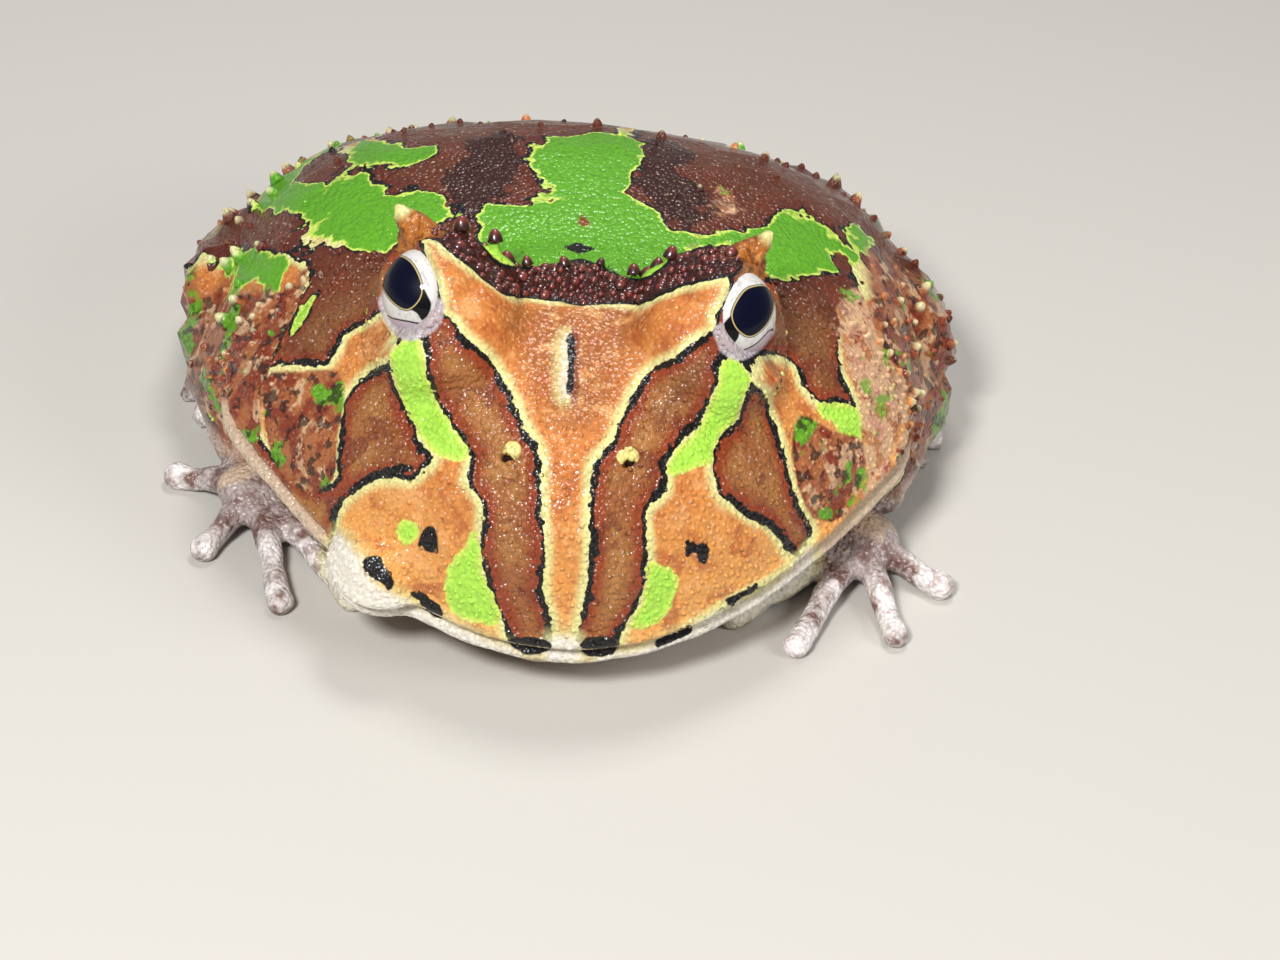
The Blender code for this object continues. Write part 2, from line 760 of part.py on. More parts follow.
def pivots():
    """Where each node's own origin lies: its joint with the one that carries it."""
    neck = Vector((0.0, NECK_Y, SNOUT_LEVEL))
    points = {"head": neck, "lower_jaw": neck, "torso": Vector((0.0, 0.0, SNOUT_LEVEL))}
    joints = {
        "eye": EYE,
        "upper_lid": EYE,
        "thigh": HIP[0],
        "shank": KNEE[0],
        "foot": HEEL[0],
        "upper_arm": SHOULDER[0],
        "forearm": ELBOW[0],
    }
    for word, side in SIDES.items():
        for kind, point in joints.items():
            points[f"{kind}_{word}"] = mirrored(point, side)
        points[f"hand_{word}"] = mirrored(PALMS[word], side)
    return points


def place_parts():
    """Move each mesh to its pivot, smooth its shading and hang every node on one empty."""
    holder = bpy.data.objects.new("frog", None)
    PARTS.objects.link(holder)
    for name, point in pivots().items():
        obj = bpy.data.objects[name]
        obj.data.transform(Matrix.Translation(-point * MM))
        obj.location = point * MM
        obj.parent = holder
        obj.data.shade_smooth()
        obj.data.set_sharp_from_angle(angle=math.radians(CREASE_DEG))


def main():
    """Build the frog."""
    trunk = trunk_mesh()
    head = build_head(trunk)
    jaw = build_jaw(trunk)
    torso = build_torso(trunk)
    build_limbs((torso, head, jaw))
    flatten_on_floor()
    place_parts()


main()
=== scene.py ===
"""Dresses the horned frog: one wet, granular skin with its markings, glossy eyes and a plain studio.

Sizes are millimetres in this file and are turned to metres where a mesh is made. The frog faces -Y,
+X is its own left, and the floor is at z = 0. The markings are drawn as outlines over the photograph,
in its pixels, and are carried to the skin through the camera that took it.
"""

import logging
import math
from dataclasses import dataclass, field
from enum import Enum

import bpy
import numpy as np
from bpy.types import Material, Mesh, Node, NodeSocket, NodeTree, Object
from mathutils import Matrix, Vector


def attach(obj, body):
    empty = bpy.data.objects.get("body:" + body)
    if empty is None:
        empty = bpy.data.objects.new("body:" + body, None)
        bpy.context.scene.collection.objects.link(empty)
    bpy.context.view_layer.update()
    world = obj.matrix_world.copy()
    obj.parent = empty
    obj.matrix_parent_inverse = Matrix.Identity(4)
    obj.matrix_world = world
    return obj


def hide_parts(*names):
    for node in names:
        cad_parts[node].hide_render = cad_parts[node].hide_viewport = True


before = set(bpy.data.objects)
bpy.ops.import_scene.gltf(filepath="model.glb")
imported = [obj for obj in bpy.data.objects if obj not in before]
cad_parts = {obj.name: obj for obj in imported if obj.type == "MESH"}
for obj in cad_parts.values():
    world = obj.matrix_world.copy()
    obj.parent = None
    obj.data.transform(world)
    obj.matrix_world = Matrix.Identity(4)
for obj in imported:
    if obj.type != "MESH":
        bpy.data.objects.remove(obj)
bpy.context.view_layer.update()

logging.basicConfig(level=logging.INFO, format="%(message)s")
LOG = logging.getLogger("horned_frog")

MM = 0.001
SIDES = (1.0, -1.0)

Array = np.ndarray
Point = tuple[float, float, float]
Pair = tuple[float, float]
# where a smooth ramp starts and where it is full
Ramp = tuple[float, float]


def smooth_step(low: float, high: float, value: Array) -> Array:
    """A smooth ramp: 0 at low, 1 at high, and 3t^2 - 2t^3 between; low may be the larger one."""
    t = np.clip((value - low) / (high - low), 0.0, 1.0)
    return t * t * (3.0 - 2.0 * t)


def waves(points: Array, length: float, seed: int, count: int = 24) -> Array:
    """A smooth random field: a sum of cosines along seeded random directions, about -1 to 1.

    Args:
        points: Places in mm, one row each.
        length: The typical wavelength in mm.
        seed: Seed of the directions and phases.
        count: How many cosines are added.

    Returns:
        The field at each point.
    """
    rng = np.random.default_rng(seed)
    ways = rng.normal(size=(count, 3))
    ways /= np.linalg.norm(ways, axis=1)[:, None]
    ways *= (2.0 * math.pi / length) * rng.uniform(0.6, 1.5, size=(count, 1))
    phases = rng.uniform(0.0, 2.0 * math.pi, size=count)
    return np.cos(points @ ways.T + phases).sum(axis=1) / math.sqrt(count)


def unit(vector: Point | Array) -> Array:
    """The vector at length one."""
    made = np.asarray(vector, float)
    return made / np.linalg.norm(made)


def mirrored(point: Point | Array, side: float) -> Array:
    """The point on that side of the body, 1 for the frog's left."""
    return np.asarray(point, float) * np.array([side, 1.0, 1.0])


def monotone(x: Array, xs: Array, ys: Array) -> Array:
    """A cubic through stations that never overshoots them, with harmonic-mean slopes.

    Args:
        x: Where to read it.
        xs: The stations' places, rising.
        ys: The stations' values.

    Returns:
        The value at each x.
    """
    step = np.diff(xs)
    slope = np.diff(ys) / step
    level = slope[:-1] * slope[1:] <= 0
    total = np.where(level, 1.0, slope[:-1] + slope[1:])
    inner = np.where(level, 0.0, 2 * slope[:-1] * slope[1:] / total)
    tangent = np.concatenate([[slope[0]], inner, [slope[-1]]])
    i = np.clip(np.searchsorted(xs, x) - 1, 0, len(step) - 1)
    t = (x - xs[i]) / step[i]
    return (
        (1 + 2 * t) * (1 - t) ** 2 * ys[i]
        + t * (1 - t) ** 2 * step[i] * tangent[i]
        + t**2 * (3 - 2 * t) * ys[i + 1]
        + t**2 * (t - 1) * step[i] * tangent[i + 1]
    )


def rounded(points: Array, steps: int, closed: bool) -> Array:
    """Catmull-Rom points through the given ones, which keeps each of them.

    Args:
        points: The points, one row each.
        steps: How many stretches each one is divided into.
        closed: Whether the last point joins the first.

    Returns:
        The denser points.
    """
    if closed:
        rows = np.vstack([points[-1], points, points[:2]])
    else:
        rows = np.vstack([2 * points[0] - points[1], points, 2 * points[-1] - points[-2]])
    p0, p1, p2, p3 = rows[:-3, None], rows[1:-2, None], rows[2:-1, None], rows[3:, None]
    t = (np.arange(steps) / steps)[None, :, None]
    made = 0.5 * (
        2 * p1
        + (p2 - p0) * t
        + (2 * p0 - 5 * p1 + 4 * p2 - p3) * t**2
        + (3 * p1 - p0 - 3 * p2 + p3) * t**3
    )
    made = made.reshape(-1, points.shape[1])
    return made if closed else np.vstack([made, points[-1]])


@dataclass
class Surface:
    """A closed surface as plain arrays: points in mm and faces of three or four corners."""

    points: Array
    faces: list[tuple[int, ...]]

    @staticmethod
    def from_rings(rings: Array, start: Array, end: Array) -> "Surface":
        """Join rings of equal count one to the next, and close both ends with a pole.

        Args:
            rings: Rows of rings, each a row of points.
            start: The pole before the first ring.
            end: The pole after the last one.

        Returns:
            The closed surface, facing outwards.
        """
        count, around = rings.shape[:2]
        a = np.arange(around)
        b = (a + 1) % around
        lift = (np.arange(count - 1) * around)[:, None]
        quads = np.stack([lift + a, lift + b, lift + b + around, lift + a + around], -1)
        first, last = count * around, count * around + 1
        low = np.stack([np.full(around, first), b, a], -1)
        tail = (count - 1) * around
        high = np.stack([np.full(around, last), tail + a, tail + b], -1)
        points = np.vstack([rings.reshape(-1, 3), start, end])
        faces = [*map(tuple, quads.reshape(-1, 4)), *map(tuple, low), *map(tuple, high)]
        made = Surface(points, faces)
        return made if made.volume() > 0 else Surface(points, [face[::-1] for face in faces])

    def volume(self) -> float:
        """Signed volume in cubic mm, positive when the faces point outwards."""
        fans = np.array([(f[0], f[i], f[i + 1]) for f in self.faces for i in range(1, len(f) - 1)])
        p, q, r = (self.points[fans[:, i]] for i in range(3))
        return float(np.einsum("ij,ij->i", p, np.cross(q, r)).sum() / 6.0)


def ellipsoid(centre: Array, radii: Point, rings: int = 40, around: int = 56) -> Surface:
    """A ball of rings of latitude, stretched to three radii about a centre.

    Args:
        centre: Its middle in mm.
        radii: Its half sizes along X, Y and Z.
        rings: Rings between the poles.
        around: Points in each ring.

    Returns:
        The surface.
    """
    lat = np.linspace(-math.pi / 2, math.pi / 2, rings + 2)[1:-1, None]
    lon = np.linspace(0, 2 * math.pi, around, endpoint=False)[None, :]
    x = np.cos(lat) * np.cos(lon)
    y = np.cos(lat) * np.sin(lon)
    z = np.sin(lat) * np.ones_like(lon)
    grid = np.stack([x, y, z], -1) * np.array(radii) + centre
    pole = np.array([0.0, 0.0, radii[2]])
    return Surface.from_rings(grid, centre - pole, centre + pole)


def tube(points: Array, radii: Array, steps: int = 8, around: int = 36, flat: float = 1.0) -> Surface:
    """A round profile carried along a smooth path, with ends rounded by a half circle.

    Args:
        points: Joints of the path in mm.
        radii: The radius at each joint.
        steps: Stretches between joints.
        around: Points in each ring.
        flat: Height of the profile as a share of its width.

    Returns:
        The surface.
    """
    path = rounded(np.column_stack([points, radii]), steps, closed=False)
    centres, sizes = path[:, :3], path[:, 3]
    away = unit(centres[0] - centres[1])
    onward = unit(centres[-1] - centres[-2])
    turn = np.linspace(0, math.pi / 2, 9)[1:-1]
    before = centres[0] + away * sizes[0] * np.sin(turn[::-1])[:, None]
    after = centres[-1] + onward * sizes[-1] * np.sin(turn)[:, None]
    line = np.vstack([before, centres, after])
    width = np.concatenate([sizes[0] * np.cos(turn[::-1]), sizes, sizes[-1] * np.cos(turn)])
    tangent = np.gradient(line, axis=0)
    tangent /= np.linalg.norm(tangent, axis=1)[:, None]
    side = np.cross(tangent, [0.0, 0.0, 1.0])
    upright = np.linalg.norm(side, axis=1) < 0.05
    side[upright] = np.cross(tangent[upright], [0.0, 1.0, 0.0])
    side /= np.linalg.norm(side, axis=1)[:, None]
    up = np.cross(side, tangent)
    angle = np.linspace(0, 2 * math.pi, around, endpoint=False)[None, :, None]
    spread = side[:, None] * np.cos(angle) + up[:, None] * np.sin(angle) * flat
    rings = line[:, None] + spread * width[:, None, None]
    start = centres[0] + away * sizes[0]
    end = centres[-1] + onward * sizes[-1]
    return Surface.from_rings(rings, start, end)


def spaced(points: Array, order: Array, radii: Array, gaps: Array, most: int) -> Array:
    """Take points in order, each one only where it keeps its gap from those already taken.

    Args:
        points: Places in mm.
        order: Point numbers in the order in which they are tried.
        radii: Radius at each place in order, in mm.
        gaps: Free space wanted round it.
        most: How many are taken at most.

    Returns:
        The positions in order that were taken.
    """
    places = np.full((most, 3), 900.0)
    reach = np.zeros(most)
    taken = []
    for at, index in enumerate(order):
        if len(taken) >= most:
            break
        free = np.linalg.norm(places - points[index], axis=1) - reach - radii[at]
        if free.min() < gaps[at]:
            continue
        places[len(taken)] = points[index]
        reach[len(taken)] = radii[at]
        taken.append(at)
    return np.array(taken)


@dataclass(frozen=True)
class PhotoCamera:
    """The camera that took the photograph, found from the eyes, horns, nostrils and lip."""

    width: int = 1280
    height: int = 960
    lens: float = 85.0
    sensor: float = 36.0
    azimuth: float = -3.502
    elevation: float = 36.264
    roll: float = 5.858
    position: Point = (-8.367, -298.712, 215.807)

    def axes(self) -> Array:
        """Rows of the camera's right, up and back directions."""
        a, e, r = np.radians([self.azimuth, self.elevation, self.roll])
        back = np.array([math.sin(a) * math.cos(e), -math.cos(a) * math.cos(e), math.sin(e)])
        right = np.array([math.cos(a), math.sin(a), 0.0])
        up = np.cross(back, right)
        turned_right = right * math.cos(r) + up * math.sin(r)
        turned_up = up * math.cos(r) - right * math.sin(r)
        return np.array([turned_right, turned_up, back])

    def focal(self) -> float:
        """Focal length in the photograph's pixels."""
        return self.lens / self.sensor * self.width

    def towards(self, points: Array) -> Array:
        """Unit directions from points to the camera."""
        away = np.array(self.position) - points
        return away / np.linalg.norm(away, axis=1)[:, None]

    def pixels(self, points: Array) -> Array:
        """Where the photograph shows each point: the focal length times its offset, over its depth.

        Args:
            points: Places in mm.

        Returns:
            A row of u, v in pixels for each point.
        """
        q = (points - np.array(self.position)) @ self.axes().T
        depth = -q[:, 2]
        u = self.width / 2 + self.focal() * q[:, 0] / depth
        v = self.height / 2 - self.focal() * q[:, 1] / depth
        return np.column_stack([u, v])

    def pixels_per_mm(self, points: Array, normals: Array, gradient: Array) -> Array:
        """How many pixels one mm along the surface covers in the direction of a pixel gradient.

        Args:
            points: Places on the surface in mm.
            normals: The surface's directions there.
            gradient: Unit pixel directions, one row each.

        Returns:
            Pixels per mm for each point.
        """
        right, up, back = self.axes()
        q = (points - np.array(self.position)) @ self.axes().T
        depth = -q[:, 2]
        scale = (self.focal() / depth)[:, None]
        du = scale * (right + (q[:, 0] / depth)[:, None] * back)
        dv = -scale * (up + (q[:, 1] / depth)[:, None] * back)
        slope = gradient[:, :1] * du + gradient[:, 1:] * dv
        slope -= normals * (slope * normals).sum(axis=1)[:, None]
        return np.linalg.norm(slope, axis=1)

    def add(self) -> Object:
        """Make the scene's camera."""
        data = bpy.data.cameras.new("photo_camera")
        data.lens = self.lens
        data.sensor_width = self.sensor
        data.clip_start = 0.01
        data.clip_end = 10.0
        made = placed("photo_camera", data)
        place = Matrix(self.axes().T.tolist()).to_4x4()
        place.translation = Vector(self.position) * MM
        made.matrix_world = place
        bpy.context.scene.camera = made
        return made


@dataclass(frozen=True)
class Eye:
    """One size for both eyes: where they sit, how big they are and which way they look."""

    centre: Point = (16.3, -22.5, 36.0)
    radius: float = 5.2
    axis: Point = (0.63, -0.505, 0.586)
    # half angle of the opening, and how much the brow covers and the lower lid leaves free, in degrees
    opening: float = 57.0
    brow_way: Point = (-0.62, 0.1, 0.78)
    brow_cover: float = 13.0
    lower_reach: float = 9.0
    lid_radius: float = 5.95
    under_radius: float = 4.6
    # degrees past the opening where the lid rises from under the eyeball, and where its rim bulges
    lid_ramp: Ramp = (-4.5, 3.5)
    rim_angle: float = 5.0
    rim_spread: float = 4.0
    rim_rise: float = 0.18
    # degrees past the opening where the lid gives way to the head, over so many mm
    fade: Ramp = (8.0, 30.0)
    fade_rise: float = 4.0
    reach: float = 9.0


@dataclass(frozen=True)
class Trunk:
    """Head and torso as one loft from snout to rump, each section a superellipse."""

    snout: float = -48.0
    rump: float = 48.0
    head_half_width: float = 39.0
    head_widest: float = -17.0
    snout_level: float = 10.0
    rump_level: float = 6.5
    shoulder: float = 0.0
    upper_squareness: Pair = (1.85, 2.1)
    lower_squareness: Pair = (2.0, 2.5)
    mouth_front: float = 7.5
    mouth_rise: float = 0.242
    # y, height of the widest level, top and underside; the plan follows a parabola
    head_stations: tuple[tuple[float, ...], ...] = (
        (-47.7, 10.0, 13.5, 7.4),
        (-46.8, 10.0, 18.2, 5.4),
        (-45.3, 10.0, 22.3, 3.6),
        (-43.2, 10.0, 25.6, 2.4),
        (-40.0, 10.2, 28.7, 1.5),
        (-34.5, 11.0, 31.3, 0.9),
        (-27.0, 12.0, 33.3, 0.6),
    )
    # y, half width, widest level, top of the back, underside
    torso_stations: tuple[tuple[float, ...], ...] = (
        (-17.0, 39.0, 13.0, 35.3, 0.4),
        (-8.0, 40.6, 14.0, 35.4, 0.2),
        (0.0, 41.2, 15.0, 36.2, -0.4),
        (9.0, 41.2, 15.0, 36.8, -0.7),
        (17.0, 40.6, 15.0, 35.3, -0.7),
        (25.0, 38.0, 14.5, 31.4, -0.6),
        (33.0, 32.4, 13.0, 25.4, -0.4),
        (40.0, 24.4, 11.0, 18.6, 0.3),
        (45.0, 14.5, 9.0, 12.6, 1.8),
    )

    def stations(self) -> Array:
        """Columns of y, half width, widest level, top and underside, from snout to rump."""
        reach = self.head_widest - self.snout
        rows = [(self.snout, 0.0, self.snout_level, self.snout_level, self.snout_level)]
        for y, level, top, under in self.head_stations:
            plan = self.head_half_width * math.sqrt((y - self.snout) / reach)
            rows.append((y, plan, level, top, under))
        rows.extend(self.torso_stations)
        rows.append((self.rump, 0.0, self.rump_level, self.rump_level, self.rump_level))
        return np.array(rows).T

    def measures(self, y: Array) -> tuple[Array, Array, Array, Array]:
        """A section's sizes, from cubics through the squares of the stations' widths and heights.

        Args:
            y: Places along the body in mm.

        Returns:
            Half width, widest level, and the reach above and below it at each y.
        """
        ys, width, level, top, under = self.stations()
        half = np.sqrt(np.maximum(monotone(y, ys, width**2), 0.0))
        up = np.sqrt(np.maximum(monotone(y, ys, (top - level) ** 2), 0.0))
        down = np.sqrt(np.maximum(monotone(y, ys, (level - under) ** 2), 0.0))
        return half, monotone(y, ys, level), up, down

    def power(self, y: Array, above: Array | bool) -> Array:
        """The power of a section's superellipse at y, above or below its widest level."""
        ends = (self.head_widest, self.shoulder)
        upper = np.interp(y, ends, self.upper_squareness)
        return np.where(above, upper, np.interp(y, ends, self.lower_squareness))

    def mouth_height(self, y: Array) -> Array:
        """Height of the mouth's tilted plane at y."""
        return self.mouth_front + self.mouth_rise * (y - self.snout)

    def over_mouth(self, points: Array) -> Array:
        """How far each point lies above the mouth's plane."""
        return (points[:, 2] - self.mouth_height(points[:, 1])) / math.hypot(1.0, self.mouth_rise)

    def top(self, x: float, y: float) -> float:
        """Height of the upper surface over x, y."""
        half, level, up, _ = self.measures(np.array([y]))
        power = float(self.power(y, True))
        return float(level[0] + up[0] * (1 - (abs(x) / half[0]) ** power) ** (1 / power))

    def surface(self, rings: int = 150, around: int = 132) -> Surface:
        """The loft: x = W cos^p(a) and z = L + H sin^p(a), with W, L and H read at each y.

        Args:
            rings: Sections from snout to rump, closer together at both ends.
            around: Points in each section.

        Returns:
            The closed surface with its poles at the snout and the rump.
        """
        turn = np.linspace(0, math.pi, rings + 2)[1:-1]
        y = (self.snout + self.rump) / 2 - (self.rump - self.snout) / 2 * np.cos(turn)
        y, angle = np.meshgrid(y, np.linspace(0, 2 * math.pi, around, endpoint=False), indexing="ij")
        half, level, up, down = self.measures(y)
        c, s = np.cos(angle), np.sin(angle)
        power = 2 / self.power(y, s > 0)
        x = half * np.sign(c) * np.abs(c) ** power
        z = level + np.where(s > 0, up, down) * np.sign(s) * np.abs(s) ** power
        poles = np.array([[0, self.snout, self.snout_level], [0, self.rump, self.rump_level]])
        return Surface.from_rings(np.stack([x, y, z], -1), *poles)


@dataclass(frozen=True)
class HeadForms:
    """What the head carries: eye mounds, lower lids, horns, the toothed brow crest and the fuller cheek."""

    mound: Point = (14.3, -22.0, 31.5)
    mound_radii: Point = (9.0, 10.5, 8.6)
    lid_thickness: float = 1.1
    horn: tuple[Point, ...] = ((15.8, -19.4, 38.2), (18.6, -17.6, 40.8), (20.2, -16.8, 43.0))
    horn_radii: tuple[float, ...] = (3.4, 2.15, 0.5)
    cheek: Point = (-19.4, -37.6, 10.8)
    cheek_radii: Point = (5.8, 6.8, 5.2)
    crest_half: float = 13.5
    crest_front: float = -19.0
    crest_back: float = -17.0
    crest_radius: float = 1.15
    crest_steps: int = 25
    crest_teeth: int = 15
    tooth_height: float = 1.85
    tooth_radius: float = 1.05
    tooth_taper: Point = (1.0, 0.7, 0.3)
    # every other tooth is larger by this share, and each differs by up to the second
    tooth_change: Pair = (0.22, 0.12)
    # sideways lean away from the middle, its random part, and the way back and up
    tooth_lean: tuple[float, ...] = (0.12, 0.15, 0.45, 0.9)
    crest_seed: int = 7

    def crest_line(self, trunk: Trunk, xs: Array) -> Array:
        """Places along the brow crest, on the head and on the mounds round the eyes.

        Args:
            trunk: The loft that carries the crest.
            xs: Where across the head to read it.

        Returns:
            A row of x, y, z for each x.
        """
        share = np.abs(xs) / self.crest_half
        y = self.crest_back + (self.crest_front - self.crest_back) * share
        top = np.array([trunk.top(float(x), float(at)) for x, at in zip(xs, y)])
        middle, radii = self.mound, self.mound_radii
        rest = 1 - ((np.abs(xs) - middle[0]) / radii[0]) ** 2 - ((y - middle[1]) / radii[1]) ** 2
        mound = middle[2] + radii[2] * np.sqrt(np.maximum(rest, 0.0))
        return np.column_stack([xs, y, np.where(rest > 0, np.maximum(top, mound), top)])

    def crest(self, trunk: Trunk) -> list[Surface]:
        """A ridge from horn to horn with broad bases for its teeth, longer and shorter in turn.

        Args:
            trunk: The loft that carries the crest.

        Returns:
            The ridge's surface, then each tooth's.
        """
        half = self.crest_half
        line = self.crest_line(trunk, np.linspace(-half, half, self.crest_steps))
        pieces = [tube(line, np.full(len(line), self.crest_radius), steps=4, around=24)]
        rng = np.random.default_rng(self.crest_seed)
        swap, spread = self.tooth_change
        away, stray, back, rise = self.tooth_lean
        for index, root in enumerate(self.crest_line(trunk, np.linspace(-half, half, self.crest_teeth))):
            size = 1.0 + swap * (-1) ** index + rng.uniform(-spread, spread)
            lean = np.array([away * np.sign(root[0]) + rng.uniform(-stray, stray), back, rise])
            tip = root + unit(lean) * self.tooth_height * size
            path = np.array([root, (root + tip) / 2, tip])
            radii = np.array(self.tooth_taper) * self.tooth_radius * size
            pieces.append(tube(path, radii, steps=5, around=18))
        return pieces

    def surfaces(self, trunk: Trunk, eye: Eye) -> list[Surface]:
        """Every form of the head that is fused with the trunk.

        Args:
            trunk: The loft that carries them.
            eye: The size and place of the eyes.

        Returns:
            Their surfaces.
        """
        pieces = [ellipsoid(np.array(self.cheek), self.cheek_radii)] + self.crest(trunk)
        for side in SIDES:
            pieces.append(ellipsoid(mirrored(self.mound, side), self.mound_radii))
            pieces.append(ellipsoid(mirrored(eye.centre, side), (eye.radius + self.lid_thickness,) * 3))
            horn = np.array([mirrored(point, side) for point in self.horn])
            pieces.append(tube(horn, np.array(self.horn_radii)))
        return pieces


@dataclass(frozen=True)
class Limbs:
    """Arms, legs, hands and feet, as tubes through joints given for the frog's left side."""

    shoulder: tuple[Point, float] = ((35.5, -6.0, 11.5), 6.8)
    elbow: tuple[Point, float] = ((41.5, 3.5, 9.0), 5.2)
    wrist: tuple[Point, float] = ((37.6, -9.5, 4.8), 3.5)
    hip: tuple[Point, float] = ((16.0, 33.0, 14.0), 9.5)
    thigh: tuple[Point, float] = ((28.4, 22.5, 16.2), 9.4)
    knee: tuple[Point, float] = ((40.2, 10.0, 12.8), 7.0)
    calf: tuple[Point, float] = ((40.2, 25.0, 9.0), 5.6)
    ankle: tuple[Point, float] = ((31.5, 39.8, 6.4), 4.0)
    heel: tuple[Point, float] = ((31.4, 41.2, 3.1), 3.3)
    instep: tuple[Point, float] = ((39.6, 33.5, 2.9), 3.2)
    ball: tuple[Point, float] = ((43.3, 23.5, 2.7), 3.0)
    palm_radii: Point = (4.6, 5.4, 3.0)
    palms: tuple[Point, Point] = ((35.2, -18.0, 3.0), (35.5, -15.5, 3.0))
    left_fingers: tuple[Pair, ...] = ((20.0, -31.5), (27.2, -36.0), (38.5, -33.0), (44.5, -23.5))
    right_fingers: tuple[Pair, ...] = ((23.0, -32.6), (31.0, -34.0), (40.5, -25.5), (45.0, -12.0))
    toes: tuple[Pair, ...] = ((37.0, 10.5), (39.8, 3.5), (43.2, 1.0), (45.6, 6.0), (45.8, 13.0))
    finger_radius: float = 1.6
    toe_radius: float = 1.45
    digit_height: float = 1.15
    digit_arch: float = 0.55
    digit_root: float = 2.2
    digit_reach: float = 2.4
    # shares of root and tip in a digit's two joints, and its radius at each of its points
    digit_joints: tuple[Pair, Pair] = ((0.62, 0.38), (0.3, 0.7))
    digit_taper: tuple[float, ...] = (1.16, 0.98, 0.8, 1.0)
    digit_clear: float = 2.0

    def digits(self, root: Point, tips: tuple[Pair, ...], side: float, radius: float) -> list[Surface]:
        """Fingers or toes with a slight arch, a swelling at the joint and a soft pad at the tip.

        Args:
            root: The middle of the palm or sole.
            tips: Where each one ends on the floor.
            side: Which side of the body.
            radius: How thick the tip is.

        Returns:
            One surface for each digit.
        """
        made = []
        for x, y in tips:
            way = unit((x - root[0], y - root[1], 0.0))
            start = np.array([root[0], root[1], self.digit_root]) + way * self.digit_reach
            tip = np.array([x, y, self.digit_height])
            rise = np.array([0.0, 0.0, self.digit_arch])
            knuckle, joint = (start * near + tip * far for near, far in self.digit_joints)
            path = np.array([start, knuckle + rise, joint, tip])
            path[:, 0] *= side
            made.append(tube(path, np.array(self.digit_taper) * radius, steps=7, around=24))
        return made

    def segments(self) -> dict[str, list[tuple[tuple[Point, float], ...]]]:
        """The joints of each limb's tubes by name."""
        return {
            "arm": [(self.shoulder, self.elbow), (self.elbow, self.wrist)],
            "leg": [(self.hip, self.thigh, self.knee), (self.knee, self.calf, self.ankle)],
            "foot": [(self.heel, self.instep, self.ball)],
        }

    def surfaces(self) -> list[Surface]:
        """Every limb of both sides."""
        made = []
        for index, side in enumerate(SIDES):
            for runs in self.segments().values():
                for run in runs:
                    path = np.array([mirrored(point, side) for point, _ in run])
                    made.append(tube(path, np.array([radius for _, radius in run])))
            palm = self.palms[index]
            fingers = (self.left_fingers, self.right_fingers)[index]
            made.append(ellipsoid(mirrored(palm, side), self.palm_radii))
            made.extend(self.digits(palm, fingers, side, self.finger_radius))
            made.extend(self.digits(self.ball[0], self.toes, side, self.toe_radius))
        return made

    def distance(self, points: Array, names: tuple[str, ...]) -> Array:
        """Distance in mm from points to the named limbs' bones, less their radius.

        Args:
            points: Places in mm.
            names: Which of the segments, and "hand" for the palms and fingers.

        Returns:
            The least distance for each point.
        """
        folded = np.column_stack([np.abs(points[:, 0]), points[:, 1:]])
        least = np.full(len(points), 99.0)
        runs = [run for name in names if name in self.segments() for run in self.segments()[name]]
        for run in runs:
            for (start, r0), (end, r1) in zip(run[:-1], run[1:]):
                least = np.minimum(least, self.to_bone(folded, start, end, (r0 + r1) / 2))
        digits = {
            "hand": zip(self.palms, (self.left_fingers, self.right_fingers)),
            "foot": [(self.ball[0], self.toes)],
        }
        for name in names:
            for root, tips in digits.get(name, ()):
                for tip in tips:
                    end = (*tip, self.digit_height)
                    least = np.minimum(least, self.to_bone(folded, root, end, self.digit_clear))
        return least

    @staticmethod
    def to_bone(points: Array, start: Point, end: Point, radius: float) -> Array:
        """Distance to a straight bone of the left side, less its radius.

        Args:
            points: Places in mm, folded over to the left side.
            start: One end of the bone.
            end: Its other end.
            radius: The flesh round it.

        Returns:
            The distance for each point.
        """
        a, b = np.array(start), np.array(end)
        along = np.clip((points - a) @ (b - a) / ((b - a) @ (b - a)), 0.0, 1.0)
        return np.linalg.norm(points - a - along[:, None] * (b - a), axis=1) - radius


class Kind(Enum):
    """What a marking drawn over the photograph stands for."""

    LIGHT = "light"
    DARK = "dark"
    GREEN = "green"
    WHITE = "white"
    BLACK = "black"
    RED = "red"
    MAROON = "maroon"
    CREAM = "cream"
    MOTTLE = "mottle"
    FURROW = "furrow"
    SHADE = "shade"
    LID = "lid"
    TEMPLE = "temple"


